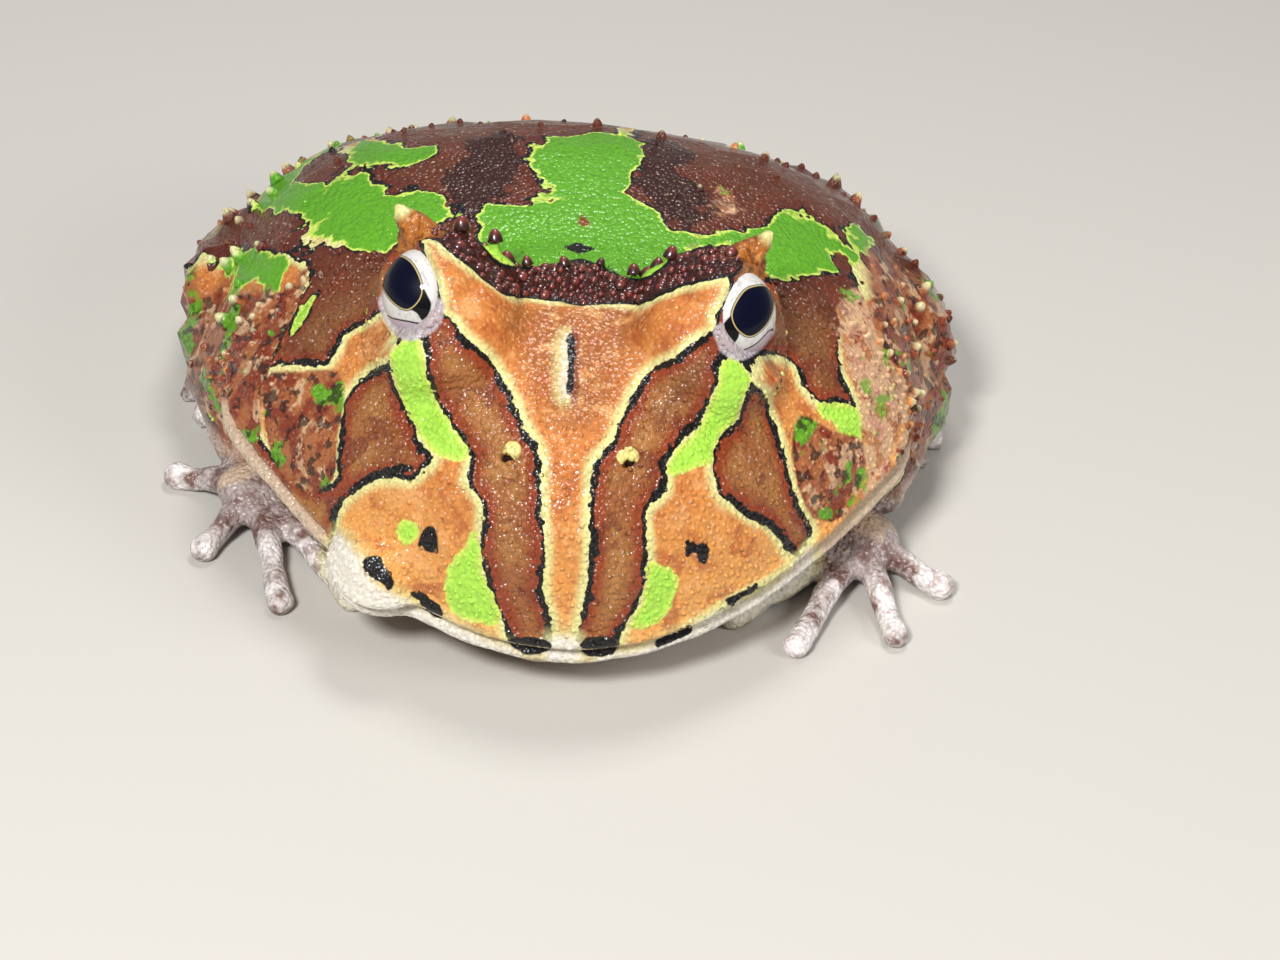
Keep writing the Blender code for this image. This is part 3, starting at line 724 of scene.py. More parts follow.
# each marking's outline by its kind and name, as u, v, u, v... in the photograph's pixels
MARKINGS: dict[Kind, dict[str, tuple[float, ...]]] = {
    Kind.LIGHT: {
        "y_mask": (423, 240, 438, 241, 449, 251, 470, 267, 490, 281, 511, 294, 530, 296, 561, 300, 601, 302,
            640, 304, 661, 296, 685, 286, 712, 279, 726, 274, 729, 292, 716, 315, 713, 331, 695, 341,
            677, 356, 648, 372, 630, 401, 619, 425, 612, 441, 601, 454, 592, 469, 590, 510, 589, 565,
            583, 605, 577, 640, 577, 657, 547, 655, 551, 640, 551, 620, 543, 590, 545, 550, 541, 505,
            540, 455, 526, 429, 515, 404, 503, 379, 488, 356, 467, 339, 455, 322, 443, 313, 440, 290,
            432, 273, 426, 258),
        "left_cheek": (397, 334, 422, 337, 426, 373, 434, 398, 445, 419, 462, 442, 471, 458, 467, 480,
            480, 500, 482, 520, 481, 550, 489, 588, 501, 618, 507, 650, 470, 640, 440, 624, 400, 604,
            360, 612, 330, 580, 333, 540, 338, 515, 348, 497, 368, 483, 390, 478, 410, 480, 424, 470,
            434, 458, 420, 442, 415, 427, 401, 398, 390, 367),
        "right_cheek": (722, 355, 748, 362, 752, 378, 746, 395, 737, 421, 722, 434, 713, 456, 714, 480,
            722, 497, 735, 505, 750, 517, 765, 522, 778, 536, 787, 552, 800, 560, 774, 580, 735, 600,
            692, 630, 655, 650, 622, 655, 622, 632, 641, 600, 648, 560, 645, 520, 648, 508, 666, 490,
            667, 465, 675, 450, 700, 423, 711, 399, 719, 380),
        "left_temple": (384, 312, 396, 338, 390, 360, 376, 368, 360, 381, 344, 404, 338, 450, 337, 478,
            318, 486, 290, 470, 262, 440, 252, 400, 270, 368, 303, 366, 325, 366, 337, 352, 346, 335,
            366, 323),
        "left_rim": (310, 262, 303, 294, 282, 334, 274, 351, 262, 380, 245, 430, 215, 400, 190, 340,
            178, 290, 190, 272, 240, 262),
        "right_rim": (749, 358, 779, 356, 795, 366, 802, 384, 818, 402, 841, 404, 858, 410, 838, 360,
            850, 310, 872, 292, 915, 290, 940, 340, 925, 420, 900, 480, 860, 520, 815, 560, 800, 552,
            813, 532, 797, 500, 788, 470, 779, 435, 769, 410, 752, 380),
    },
    Kind.DARK: {
        "left_triangle": (370, 384, 354, 400, 345, 425, 341, 455, 343, 484, 349, 493, 367, 477, 389, 468,
            405, 464, 412, 454, 417, 442, 409, 422, 398, 402, 387, 386),
        "right_triangle": (754, 386, 766, 395, 771, 415, 778, 445, 785, 467, 789, 497, 796, 514, 808, 522,
            811, 532, 796, 545, 787, 541, 778, 525, 766, 517, 748, 506, 731, 491, 724, 475, 717, 463,
            724, 437, 739, 424, 748, 398),
    },
    Kind.GREEN: {
        "temple_slit": (315, 295, 309, 310, 300, 325, 291, 334, 296, 318, 306, 303),
        "left_stripe": (397, 337, 420, 338, 422, 355, 426, 378, 435, 400, 447, 420, 461, 440, 468, 454,
            458, 460, 440, 456, 426, 441, 415, 424, 402, 398, 392, 369, 390, 350),
        "right_stripe": (722, 357, 748, 365, 750, 381, 744, 396, 735, 420, 721, 433, 713, 448, 710, 461,
            690, 469, 676, 474, 668, 470, 677, 452, 692, 438, 703, 423, 713, 400, 721, 381),
        "left_cheek_dot": (408, 521, 416, 525, 419, 533, 413, 541, 404, 543, 397, 536, 399, 525),
        "left_lip": (473, 532, 467, 545, 457, 556, 449, 568, 445, 582, 447, 600, 453, 612, 470, 620,
            492, 624, 499, 618, 494, 600, 487, 585, 481, 570, 480, 550),
        "right_lip": (650, 563, 661, 566, 673, 570, 677, 585, 673, 600, 666, 614, 654, 624, 640, 628,
            633, 624, 641, 608, 647, 588),
        "back_centre": (527, 142, 563, 136, 603, 133, 637, 138, 640, 160, 624, 186, 649, 206, 669, 231,
            688, 249, 690, 262, 668, 274, 640, 284, 603, 274, 563, 265, 525, 268, 500, 262, 478, 240,
            488, 212, 513, 203, 552, 205, 568, 197, 556, 186, 534, 175, 528, 160),
        "back_slope": (694, 246, 700, 234, 722, 230, 752, 232, 758, 242, 735, 252, 712, 256),
        "back_right": (762, 240, 764, 226, 778, 216, 790, 211, 806, 208, 818, 226, 841, 228, 858, 226,
            876, 238, 878, 252, 861, 260, 835, 268, 815, 275, 790, 278, 766, 276, 760, 262),
        "back_left_top": (342, 126, 372, 131, 399, 146, 431, 146, 431, 160, 401, 170, 376, 170, 354, 164,
            347, 150),
        "back_left": (244, 180, 278, 164, 303, 148, 319, 150, 305, 164, 297, 182, 323, 184, 338, 176,
            356, 176, 376, 188, 386, 200, 432, 187, 458, 210, 455, 222, 405, 233, 404, 243, 384, 250,
            356, 250, 344, 244, 362, 236, 331, 235, 319, 226, 305, 213, 274, 213, 250, 202),
        "rim_left": (187, 254, 209, 250, 231, 252, 272, 250, 288, 260, 281, 286, 270, 292, 256, 278,
            248, 288, 229, 286, 231, 270, 211, 262, 197, 274, 188, 269),
        "rim_left_dot": (232, 310, 243, 316, 242, 330, 230, 335, 220, 326, 222, 313),
        "rim_left_dot_low": (222, 398, 235, 406, 236, 420, 224, 427, 210, 420, 209, 404),
        "rim_right": (820, 404, 845, 405, 859, 412, 862, 438, 846, 440, 835, 424, 820, 414),
    },
    Kind.WHITE: {
        "left_lip": (334, 535, 345, 538, 352, 548, 362, 558, 363, 568, 372, 580, 385, 590, 398, 596,
            443, 618, 480, 636, 520, 654, 520, 668, 470, 655, 400, 622, 350, 612, 325, 575),
        "right_lip": (600, 655, 640, 650, 680, 632, 710, 616, 740, 602, 765, 590, 787, 573, 801, 556,
            812, 548, 812, 570, 775, 605, 700, 645, 640, 668, 600, 668),
        "brow_slit_side": (563, 345, 568, 336, 568, 392, 564, 397, 562, 382, 562, 356),
        "snout": (550, 638, 577, 638, 578, 662, 547, 662),
    },
    Kind.BLACK: {
        "back_dash": (564, 247, 574, 245, 585, 247, 583, 252, 572, 252),
        "left_cheek_spot": (363, 563, 367, 557, 375, 555, 382, 558, 384, 566, 391, 575, 393, 585, 388, 590,
            380, 583, 372, 578, 366, 573),
        "left_cheek_ring": (419, 540, 423, 530, 430, 526, 436, 529, 438, 540, 439, 550, 432, 553, 424, 549,
            417, 545),
        "left_lip_spot": (410, 593, 418, 592, 430, 598, 440, 606, 443, 615, 440, 619, 428, 612, 420, 604),
        "left_cheek_band": (348, 490, 366, 475, 388, 466, 410, 464, 412, 471, 390, 475, 370, 482, 352, 495),
        "right_cheek_band": (728, 492, 745, 507, 766, 517, 787, 536, 797, 549, 790, 550, 778, 538, 764, 526,
            744, 516, 728, 500),
        "right_cheek_mark": (685, 541, 690, 540, 697, 545, 707, 542, 708, 560, 700, 563, 694, 552,
            686, 555),
        "right_lip_spots": (725, 600, 735, 594, 750, 588, 757, 583, 758, 590, 742, 598, 730, 606),
        "right_lip_spot_low": (655, 641, 670, 634, 690, 625, 692, 632, 675, 641, 658, 648),
        "mouth_spot_left": (507, 640, 528, 637, 549, 641, 549, 652, 525, 654),
        "mouth_spot_right": (581, 640, 600, 636, 617, 642, 612, 654, 585, 656),
        "brow_slit": (567, 337, 573, 335, 575, 350, 573, 391, 567, 392, 568, 360),
    },
    Kind.RED: {
        "back_notch": (566, 210, 574, 203, 584, 203, 591, 216, 588, 227, 576, 228, 567, 220),
        "brow_slit_side": (571, 328, 579, 332, 580, 360, 578, 402, 572, 406, 571, 392, 573, 352),
    },
    Kind.MAROON: {
        "left": (432, 222, 450, 224, 467, 232, 479, 242, 495, 262, 512, 267, 530, 268, 560, 264, 590, 262,
            590, 303, 560, 300, 530, 297, 506, 294, 494, 286, 482, 277, 470, 266, 449, 250, 440, 241,
            432, 237),
        "right": (580, 262, 620, 276, 637, 280, 651, 276, 664, 267, 672, 258, 689, 252, 709, 246, 730, 246,
            742, 258, 738, 272, 723, 276, 706, 279, 689, 283, 671, 288, 654, 296, 640, 303, 620, 302,
            580, 301),
    },
    Kind.CREAM: {
        "furrow_rim_high": (686, 129, 700, 133, 712, 146, 713, 161, 703, 176, 690, 183, 687, 176, 698, 166,
            703, 154, 699, 144, 688, 138),
        "furrow_rim_low": (725, 185, 737, 192, 740, 209, 729, 227, 708, 239, 696, 238, 698, 248, 706, 257,
            699, 260, 688, 251, 684, 237, 690, 229, 706, 230, 721, 220, 729, 206, 727, 194),
        "right_flank": (844, 294, 862, 290, 872, 312, 884, 352, 906, 378, 910, 412, 893, 454, 884, 500,
            862, 524, 848, 527, 860, 494, 866, 463, 861, 434, 859, 399, 848, 369, 838, 334),
    },
    Kind.MOTTLE: {
        "right_rim": (862, 260, 900, 262, 945, 300, 950, 380, 925, 440, 900, 470, 896, 430, 905, 385,
            884, 350, 872, 310),
        "right_side": (800, 415, 830, 430, 862, 440, 866, 470, 846, 515, 818, 520, 803, 500, 792, 455),
        "left_rim": (160, 250, 195, 285, 235, 292, 285, 292, 305, 268, 302, 296, 282, 336, 273, 356,
            262, 400, 258, 440, 230, 440, 190, 380, 160, 300),
        "left_side": (264, 380, 300, 372, 338, 372, 344, 400, 337, 440, 333, 480, 300, 490, 270, 450),
    },
    Kind.FURROW: {
        "left": (470, 140, 500, 130, 521, 140, 524, 160, 522, 186, 500, 196, 484, 205, 474, 226, 462, 218,
            452, 204, 437, 190, 442, 176, 462, 166),
        "right": (646, 140, 668, 136, 690, 142, 700, 160, 690, 176, 704, 190, 722, 196, 726, 208, 712, 220,
            694, 224, 684, 240, 672, 226, 664, 206, 640, 192, 630, 184, 641, 164),
    },
    Kind.SHADE: {
        "brow": (505, 312, 570, 304, 648, 310, 628, 366, 602, 418, 560, 430, 534, 392, 515, 350),
    },
    Kind.LID: {
        "left": (378, 296, 382, 318, 392, 333, 408, 341, 426, 338, 441, 324, 444, 300, 410, 290),
        "right": (714, 326, 716, 344, 724, 357, 738, 362, 753, 357, 768, 344, 776, 324, 745, 315),
    },
    Kind.TEMPLE: {
        "left_temple": (378, 262, 340, 259, 312, 267, 304, 294, 284, 334, 277, 351, 283, 362, 303, 362,
            322, 362, 333, 351, 343, 334, 363, 320, 380, 306),
        "right_temple": (778, 298, 815, 297, 850, 308, 838, 340, 842, 372, 850, 396, 822, 392, 806, 372,
            797, 358, 778, 350, 764, 352, 776, 325),
        "right_stripe": (700, 352, 714, 346, 712, 370, 700, 390, 682, 408, 662, 428, 652, 420, 660, 398,
            676, 374),
    },
}


@dataclass(frozen=True)
class Nostril:
    """One nostril over the photograph: its pale oval, its opening and how far both reach, in pixels."""

    oval: Pair
    oval_size: Pair
    pit: Pair
    pit_size: Pair


NOSTRILS = (
    Nostril(oval=(512.5, 450.0), oval_size=(9.0, 9.5), pit=(506.5, 458.5), pit_size=(6.5, 4.0)),
    Nostril(oval=(628.0, 456.5), oval_size=(11.5, 10.0), pit=(630.5, 464.0), pit_size=(8.0, 3.6)),
)


@dataclass(frozen=True)
class Field:
    """Signed distance in mm to an outline drawn over the photograph, positive inside."""

    camera: PhotoCamera
    points: Array
    normals: Array
    margin: float = 70.0
    corner_steps: int = 3
    # pixels that one mm covers: on the whole, and at least and at most
    typical_scale: float = 9.0
    scale_limits: Ramp = (2.0, 12.0)

    def read(self, outline: Array, pixels: Array) -> Array:
        """Distance to one outline, with its corners rounded, in pixels and then mm along the skin.

        Args:
            outline: Corners in pixels, one row each.
            pixels: Each point's pixel.

        Returns:
            The distance in mm; far points get minus the margin.
        """
        corners = rounded(outline, self.corner_steps, closed=True)
        low, high = corners.min(axis=0) - self.margin, corners.max(axis=0) + self.margin
        near = ((pixels > low) & (pixels < high)).all(axis=1)
        here = pixels[near]
        best = np.full(len(here), 1e9)
        nearest = np.zeros((len(here), 2))
        inside = np.zeros(len(here), bool)
        for start, end in zip(corners, np.roll(corners, -1, axis=0)):
            edge = end - start
            along = np.clip((here - start) @ edge / (edge @ edge + 1e-9), 0.0, 1.0)
            away = here - start - along[:, None] * edge
            square = (away**2).sum(axis=1)
            closer = square < best
            best[closer] = square[closer]
            nearest[closer] = away[closer]
            crosses = (start[1] > here[:, 1]) != (end[1] > here[:, 1])
            if edge[1] != 0:
                at = start[0] + (here[:, 1] - start[1]) / edge[1] * edge[0]
                inside ^= crosses & (here[:, 0] < at)
        length = np.sqrt(best)
        gradient = nearest / np.maximum(length, 1e-6)[:, None]
        scale = self.camera.pixels_per_mm(self.points[near], self.normals[near], gradient)
        far = np.full(len(pixels), -self.margin / self.typical_scale)
        far[near] = np.where(inside, 1.0, -1.0) * length / np.clip(scale, *self.scale_limits)
        return far


Sockets = dict[str, NodeSocket]


def linear(code: str) -> tuple[float, float, float, float]:
    """An sRGB hex colour as linear red, green and blue with full alpha.

    Args:
        code: Six hex digits after a hash.

    Returns:
        The colour that Blender's sockets take.
    """
    channels = [int(code[i : i + 2], 16) / 255.0 for i in (1, 3, 5)]
    made = [c / 12.92 if c <= 0.04045 else ((c + 0.055) / 1.055) ** 2.4 for c in channels]
    return (made[0], made[1], made[2], 1.0)


def add(tree: NodeTree, kind: str, inputs: dict | None = None, **settings: object) -> Node:
    """Add one node, with its settings, and with each input set to a value or linked to a socket.

    Args:
        tree: The node tree.
        kind: The shader node's type.
        inputs: Values or sockets by input name or number.
        settings: The node's own properties.

    Returns:
        The new node.
    """
    node = tree.nodes.new("ShaderNode" + kind)
    for name, value in settings.items():
        setattr(node, name, value)
    for key, value in (inputs or {}).items():
        if isinstance(value, NodeSocket):
            tree.links.new(value, node.inputs[key])
        else:
            node.inputs[key].default_value = value
    return node


def new_material(name: str, settings: dict[str, float]) -> tuple[Material, Node]:
    """A new material with its shader's own sockets set.

    Args:
        name: What the finish is.
        settings: Values by the shader's socket name.

    Returns:
        The material and its shader.
    """
    made = bpy.data.materials.new(name)
    made.use_nodes = True
    shader = made.node_tree.nodes["Principled BSDF"]
    for socket, value in settings.items():
        shader.inputs[socket].default_value = value
    return made, shader


def placed(name: str, data: bpy.types.ID) -> Object:
    """A new object that shows some data, linked to the scene."""
    made = bpy.data.objects.new(name, data)
    bpy.context.scene.collection.objects.link(made)
    return made


def make_object(name: str, points: Array, corners: Array, sizes: Array) -> Object:
    """Put arrays into a mesh and its object, in metres.

    Args:
        name: The piece's name.
        points: Places in mm.
        corners: Point numbers, face after face.
        sizes: How many corners each face has.

    Returns:
        The object, linked to the scene.
    """
    mesh = bpy.data.meshes.new(name)
    mesh.vertices.add(len(points))
    mesh.vertices.foreach_set("co", (points * MM).ravel().astype(np.float32))
    mesh.loops.add(len(corners))
    mesh.loops.foreach_set("vertex_index", corners.astype(np.int32))
    mesh.polygons.add(len(sizes))
    starts = np.concatenate([[0], np.cumsum(sizes)[:-1]]).astype(np.int32)
    mesh.polygons.foreach_set("loop_start", starts)
    mesh.update(calc_edges=True)
    mesh.polygons.foreach_set("use_smooth", np.ones(len(sizes), bool))
    return placed(name, mesh)


def joined(surfaces: list[Surface]) -> tuple[Array, Array, Array]:
    """All surfaces as one.

    Args:
        surfaces: What is put together.

    Returns:
        Points in mm, point numbers face after face, and how many corners each face has.
    """
    corners, sizes, base = [], [], 0
    for surface in surfaces:
        sizes.extend(len(face) for face in surface.faces)
        corners.append(np.concatenate([np.array(face) for face in surface.faces]) + base)
        base += len(surface.points)
    points = np.vstack([surface.points for surface in surfaces])
    return points, np.concatenate(corners), np.array(sizes)


# how deep a dome's lowest point lies in the skin, as a share of its radius, and its least height in mm
DOME_ROOT = 0.6
DOME_CLEAR = 0.1


def dome_faces(count: int, rings: int, around: int) -> tuple[Array, Array]:
    """Corners and face sizes of equal domes: four-sided walls, then three-sided caps and floors.

    Args:
        count: How many domes there are.
        rings: Rings in each one, which its tip and its lowest point follow.
        around: Points in each ring.

    Returns:
        Point numbers face after face, and how many corners each face has.
    """
    each = rings * around + 2
    a = np.arange(around)
    b = (a + 1) % around
    steps = (np.arange(rings - 1) * around)[:, None]
    quads = np.stack([steps + a, steps + b, steps + b + around, steps + a + around], -1).reshape(-1)
    last = (rings - 1) * around
    caps = np.stack([last + a, last + b, np.full(around, each - 2)], -1).reshape(-1)
    floors = np.stack([b, a, np.full(around, each - 1)], -1).reshape(-1)
    pattern = np.concatenate([quads, caps, floors])
    corners = (pattern[None] + (np.arange(count) * each)[:, None]).reshape(-1)
    sizes = np.tile(np.concatenate([np.full(last, 4), np.full(2 * around, 3)]), count)
    return corners, sizes


def domes(name: str, roots: Array, out: Array, up: Array, heights: Array, radii: Array,
          profile: tuple[Pair, ...], around: int) -> Object:
    """Small closed domes as one mesh: rings carried up an axis from each root to a tip.

    A ring lies at its level times the dome's height, or times its radius below the skin, and is its
    width times the dome's radius across.

    Args:
        name: The piece's name.
        roots: Where each dome stands, in mm.
        out: The skin's direction there.
        up: The dome's own direction.
        heights: How tall each one is.
        radii: How wide each one is.
        profile: Level and width of each ring, lowest first.
        around: Points in each ring.

    Returns:
        The object.
    """
    levels, widths = np.array(profile).T
    # any direction across the dome's own will do, as long as it isn't parallel to it
    side = np.cross(up, np.roll(up, 1, axis=1) + 0.01)
    side /= np.linalg.norm(side, axis=1)[:, None]
    other = np.cross(up, side)
    turn = np.linspace(0, 2 * math.pi, around, endpoint=False)
    spread = side[:, None] * np.cos(turn)[None, :, None] + other[:, None] * np.sin(turn)[None, :, None]
    scale = radii[:, None] * widths
    lift = np.where(levels < 0, levels * radii[:, None], levels * heights[:, None])
    rings = roots[:, None, None] + spread[:, None] * scale[:, :, None, None]
    rings = rings + up[:, None, None] * lift[:, :, None, None]
    tips = roots + up * heights[:, None]
    bottoms = roots - out * (DOME_ROOT * radii)[:, None]
    count = len(roots)
    points = np.concatenate([rings.reshape(count, -1, 3), tips[:, None], bottoms[:, None]], axis=1)
    points[..., 2] = np.maximum(points[..., 2], DOME_CLEAR)
    corners, sizes = dome_faces(count, len(levels), around)
    return make_object(name, points.reshape(-1, 3), corners, sizes)


def finished(obj: Object) -> Mesh:
    """The object's mesh after its modifiers."""
    graph = bpy.context.evaluated_depsgraph_get()
    return bpy.data.meshes.new_from_object(obj.evaluated_get(graph), depsgraph=graph)


def read_points(mesh: Mesh) -> Array:
    """A mesh's points in mm."""
    flat = np.empty(len(mesh.vertices) * 3, np.float32)
    mesh.vertices.foreach_get("co", flat)
    return flat.reshape(-1, 3).astype(float) / MM


def read_normals(mesh: Mesh) -> Array:
    """A mesh's point normals."""
    flat = np.empty(len(mesh.vertices) * 3, np.float32)
    mesh.vertex_normals.foreach_get("vector", flat)
    return flat.reshape(-1, 3).astype(float)


def set_points(mesh: Mesh, points: Array) -> None:
    """Give a mesh's points new places in mm."""
    mesh.vertices.foreach_set("co", (points * MM).ravel().astype(np.float32))
    mesh.update()


def set_values(mesh: Mesh, name: str, values: Array) -> None:
    """Keep one number for each point as an attribute that a material reads."""
    layer = mesh.attributes.new(name, "FLOAT", "POINT")
    layer.data.foreach_set("value", values.astype(np.float32))


def dressed(obj: Object, material: Material, slot: str, *nodes: str) -> None:
    """Give a piece its material and its body, and hide the CAD nodes that it stands for.

    Args:
        obj: The piece.
        material: Its finish.
        slot: Not used.
        nodes: CAD nodes that it replaces.
    """
    obj.data.materials.clear()
    obj.data.materials.append(material)
    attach(obj, "root")
    if nodes:
        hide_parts(*nodes)
    LOG.info("%s: %d faces", obj.name, len(obj.data.polygons))


@dataclass
class Paint:
    """What the skin's colours are worked out from, as one number per point for each marking.

    Ramps are in mm where they say nothing else; y grows towards the rump and z upwards.
    """

    camera: PhotoCamera
    trunk: Trunk
    limbs: Limbs
    # cosine of the camera's angle where a drawn marking starts to hold, and where it holds in full
    seen: Ramp = (0.03, 0.22)
    # what a marking reads far outside its outline, and what it loses where the camera can't see
    far: float = -8.0
    unseen: float = 4.0
    # wavelength, seed, rarity and edge of the blotches that carry the pattern on where it isn't seen
    green_blotches: tuple[float, int, float, float] = (21.0, 3, 0.4, 4.5)
    light_blotches: tuple[float, int, float, float] = (15.0, 5, 0.5, 3.5)
    # the back's own colours start here, later and more slowly at the sides
    back_start: float = -18.0
    back_ramp: Ramp = (-1.0, 3.0)
    back_sides: Ramp = (16.0, 26.0)
    side_later: float = 2.0
    side_slower: float = 8.0
    back_swell: float = 0.5
    # the flank is steep, low and behind the head, and carries less green
    flank_steep: Ramp = (0.35, 0.7)
    flank_low: Ramp = (27.0, 20.0)
    flank_behind: Ramp = (-16.0, -10.0)
    flank_less_green: float = 3.0
    mottle_edge: Ramp = (-0.8, 0.8)
    cream_edge: Ramp = (0.6, -0.6)
    lip_facing: float = -0.2
    crest_above: float = 30.0
    head_end: Ramp = (-12.0, -17.0)
    # hands, feet and arms: how close to their bones and how low the pale skin lies
    hand_skin: Ramp = (1.6, 0.4)
    hand_low: Ramp = (8.0, 5.0)
    arm_skin: Ramp = (3.0, 0.5)
    arm_low: Ramp = (9.5, 5.0)
    arm_share: float = 0.55
    # painted shade over the palm and wrist: reach, height, stretch along the body and shift behind the palm
    painted_palm_shade_reach: Ramp = (10.0, 4.0)
    painted_palm_shade_low: Ramp = (14.0, 10.0)
    painted_palm_shade_stretch: float = 0.8
    painted_palm_shade_behind: float = 1.0
    # the cream underside: under the mouth's line, near the floor, and wherever the skin looks down
    chin: Ramp = (0.4, -0.9)
    floor_cream: Ramp = (9.0, 3.0)
    downward: Ramp = (-0.15, -0.7)
    under_low: Ramp = (18.0, 10.0)
    mouth_fade: float = 3.0
    no_mouth: float = 30.0

    def traced(self, points: Array, normals: Array, pixels: Array) -> dict[Kind, Array]:
        """The distance into each kind of marking, as the photograph shows it.

        Args:
            points: Places in mm.
            normals: Directions there.
            pixels: Each point's pixel.

        Returns:
            Distances in mm by kind, positive inside.
        """
        reader = Field(self.camera, points, normals)
        kinds = {kind: np.full(len(points), self.far) for kind in Kind}
        for kind, outlines in MARKINGS.items():
            for outline in outlines.values():
                read = reader.read(np.array(outline, float).reshape(-1, 2), pixels)
                kinds[kind] = np.maximum(kinds[kind], read)
        dark = np.maximum(kinds[Kind.DARK], kinds[Kind.TEMPLE])
        light = np.maximum(np.minimum(kinds[Kind.LIGHT], -dark), kinds[Kind.GREEN])
        low, high = self.back_ramp
        back = smooth_step(self.back_start + low, self.back_start + high, points[:, 1])
        kinds[Kind.LIGHT] = light * (1 + self.back_swell * back)
        kinds[Kind.GREEN] = kinds[Kind.GREEN] * (1 + self.back_swell * back)
        return kinds

    @staticmethod
    def blotches(points: Array, length: float, seed: int, rarity: float, edge: float) -> Array:
        """A field of seeded blotches, positive inside: waves less their rarity, times their edge."""
        return (waves(points, length, seed) - rarity) * edge

    def pattern(self, points: Array, normals: Array, pixels: Array) -> dict[str, Array]:
        """The drawn markings where the camera sees the skin, and seeded blotches elsewhere.

        Args:
            points: Places in mm.
            normals: Directions there.
            pixels: Each point's pixel.

        Returns:
            Attribute arrays by name.
        """
        kinds = self.traced(points, normals, pixels)
        facing = (normals * self.camera.towards(points)).sum(axis=1)
        seen = smooth_step(*self.seen, facing)
        green = self.blotches(points, *self.green_blotches)
        light = np.maximum(green, self.blotches(points, *self.light_blotches))
        steep = smooth_step(*self.flank_steep, np.hypot(normals[:, 0], normals[:, 1]))
        flank = steep * smooth_step(*self.flank_low, points[:, 2])
        flank = flank * smooth_step(*self.flank_behind, points[:, 1])
        made = {
            "light": seen * kinds[Kind.LIGHT] + (1 - seen) * light,
            "green": seen * kinds[Kind.GREEN] + (1 - seen) * (green - self.flank_less_green * flank),
            "white": np.where(facing > self.lip_facing, kinds[Kind.WHITE], self.far),
            "maroon": np.where(points[:, 2] > self.crest_above, kinds[Kind.MAROON], self.far),
        }
        drawn = {"flank_cream": Kind.CREAM} | {
            kind.value: kind
            for kind in (Kind.BLACK, Kind.RED, Kind.FURROW, Kind.SHADE, Kind.LID, Kind.TEMPLE)
        }
        for name, kind in drawn.items():
            made[name] = seen * kinds[kind] - (1 - seen) * self.unseen
        band = np.maximum(smooth_step(*self.mottle_edge, kinds[Kind.MOTTLE]) * seen, flank * (1 - seen))
        made["mottle"] = np.minimum(band, smooth_step(*self.cream_edge, kinds[Kind.CREAM]))
        return made

    def regions(self, points: Array, normals: Array) -> dict[str, Array]:
        """What a point's place on the body says: back, pale hands, painted shade on the palms, cream belly
        and mouth.

        Args:
            points: Places in mm.
            normals: Directions there.

        Returns:
            Attribute arrays by name.
        """
        x, y, z = points.T
        head = smooth_step(*self.head_end, y)
        sideways = smooth_step(*self.back_sides, np.abs(x))
        low, high = self.back_ramp
        behind = y - self.back_start - self.side_later * sideways
        hands = smooth_step(*self.hand_skin, self.limbs.distance(points, ("hand", "foot")))
        arm = smooth_step(*self.arm_skin, self.limbs.distance(points, ("arm",)))
        mouth = self.trunk.over_mouth(points)
        across, along = self.limbs.palms[0][:2]
        wrist = np.hypot(np.abs(x) - across, self.painted_palm_shade_stretch * (y - along - self.painted_palm_shade_behind))
        return {
            "back": smooth_step(low, high + self.side_slower * sideways, behind),
            "pale": np.maximum.reduce([
                hands * smooth_step(*self.hand_low, z),
                self.arm_share * arm * smooth_step(*self.arm_low, z),
            ]),
            "painted_palm_shade": smooth_step(*self.painted_palm_shade_reach, wrist) * smooth_step(*self.painted_palm_shade_low, z),
            "cream": np.maximum.reduce([
                head * smooth_step(*self.chin, mouth),
                smooth_step(*self.floor_cream, z) * (1 - head),
                smooth_step(*self.downward, normals[:, 2]) * smooth_step(*self.under_low, z),
            ]),
            "mouth": np.where(head > 0.01, np.abs(mouth) + (1 - head) * self.mouth_fade, self.no_mouth),
        }

    def marks(self, points: Array, normals: Array) -> dict[str, Array]:
        """Work out every marking attribute.

        Args:
            points: Places in mm.
            normals: Directions there.

        Returns:
            Attribute arrays by name.
        """
        pixels = self.camera.pixels(points)
        marks = self.pattern(points, normals, pixels) | self.regions(points, normals)
        marks["nostril"], marks["pit"] = self.nostril_marks(pixels, normals)
        return marks

    @staticmethod
    def nostril_marks(pixels: Array, normals: Array) -> tuple[Array, Array]:
        """How deep each point lies in a nostril's pale oval and in its opening: 1 in the middle, 0 outside.

        Args:
            pixels: Each point's pixel.
            normals: Directions there.

        Returns:
            The oval's and the opening's depth.
        """
        facing = (normals[:, 1] < 0.2).astype(float)
        oval, pit = np.zeros(len(pixels)), np.zeros(len(pixels))
        for nostril in NOSTRILS:
            for total, middle, size in ((oval, nostril.oval, nostril.oval_size),
                                        (pit, nostril.pit, nostril.pit_size)):
                reach = np.linalg.norm((pixels - middle) / size, axis=1)
                np.maximum(total, smooth_step(1.15, 0.75, reach) * facing, out=total)
        return oval, pit


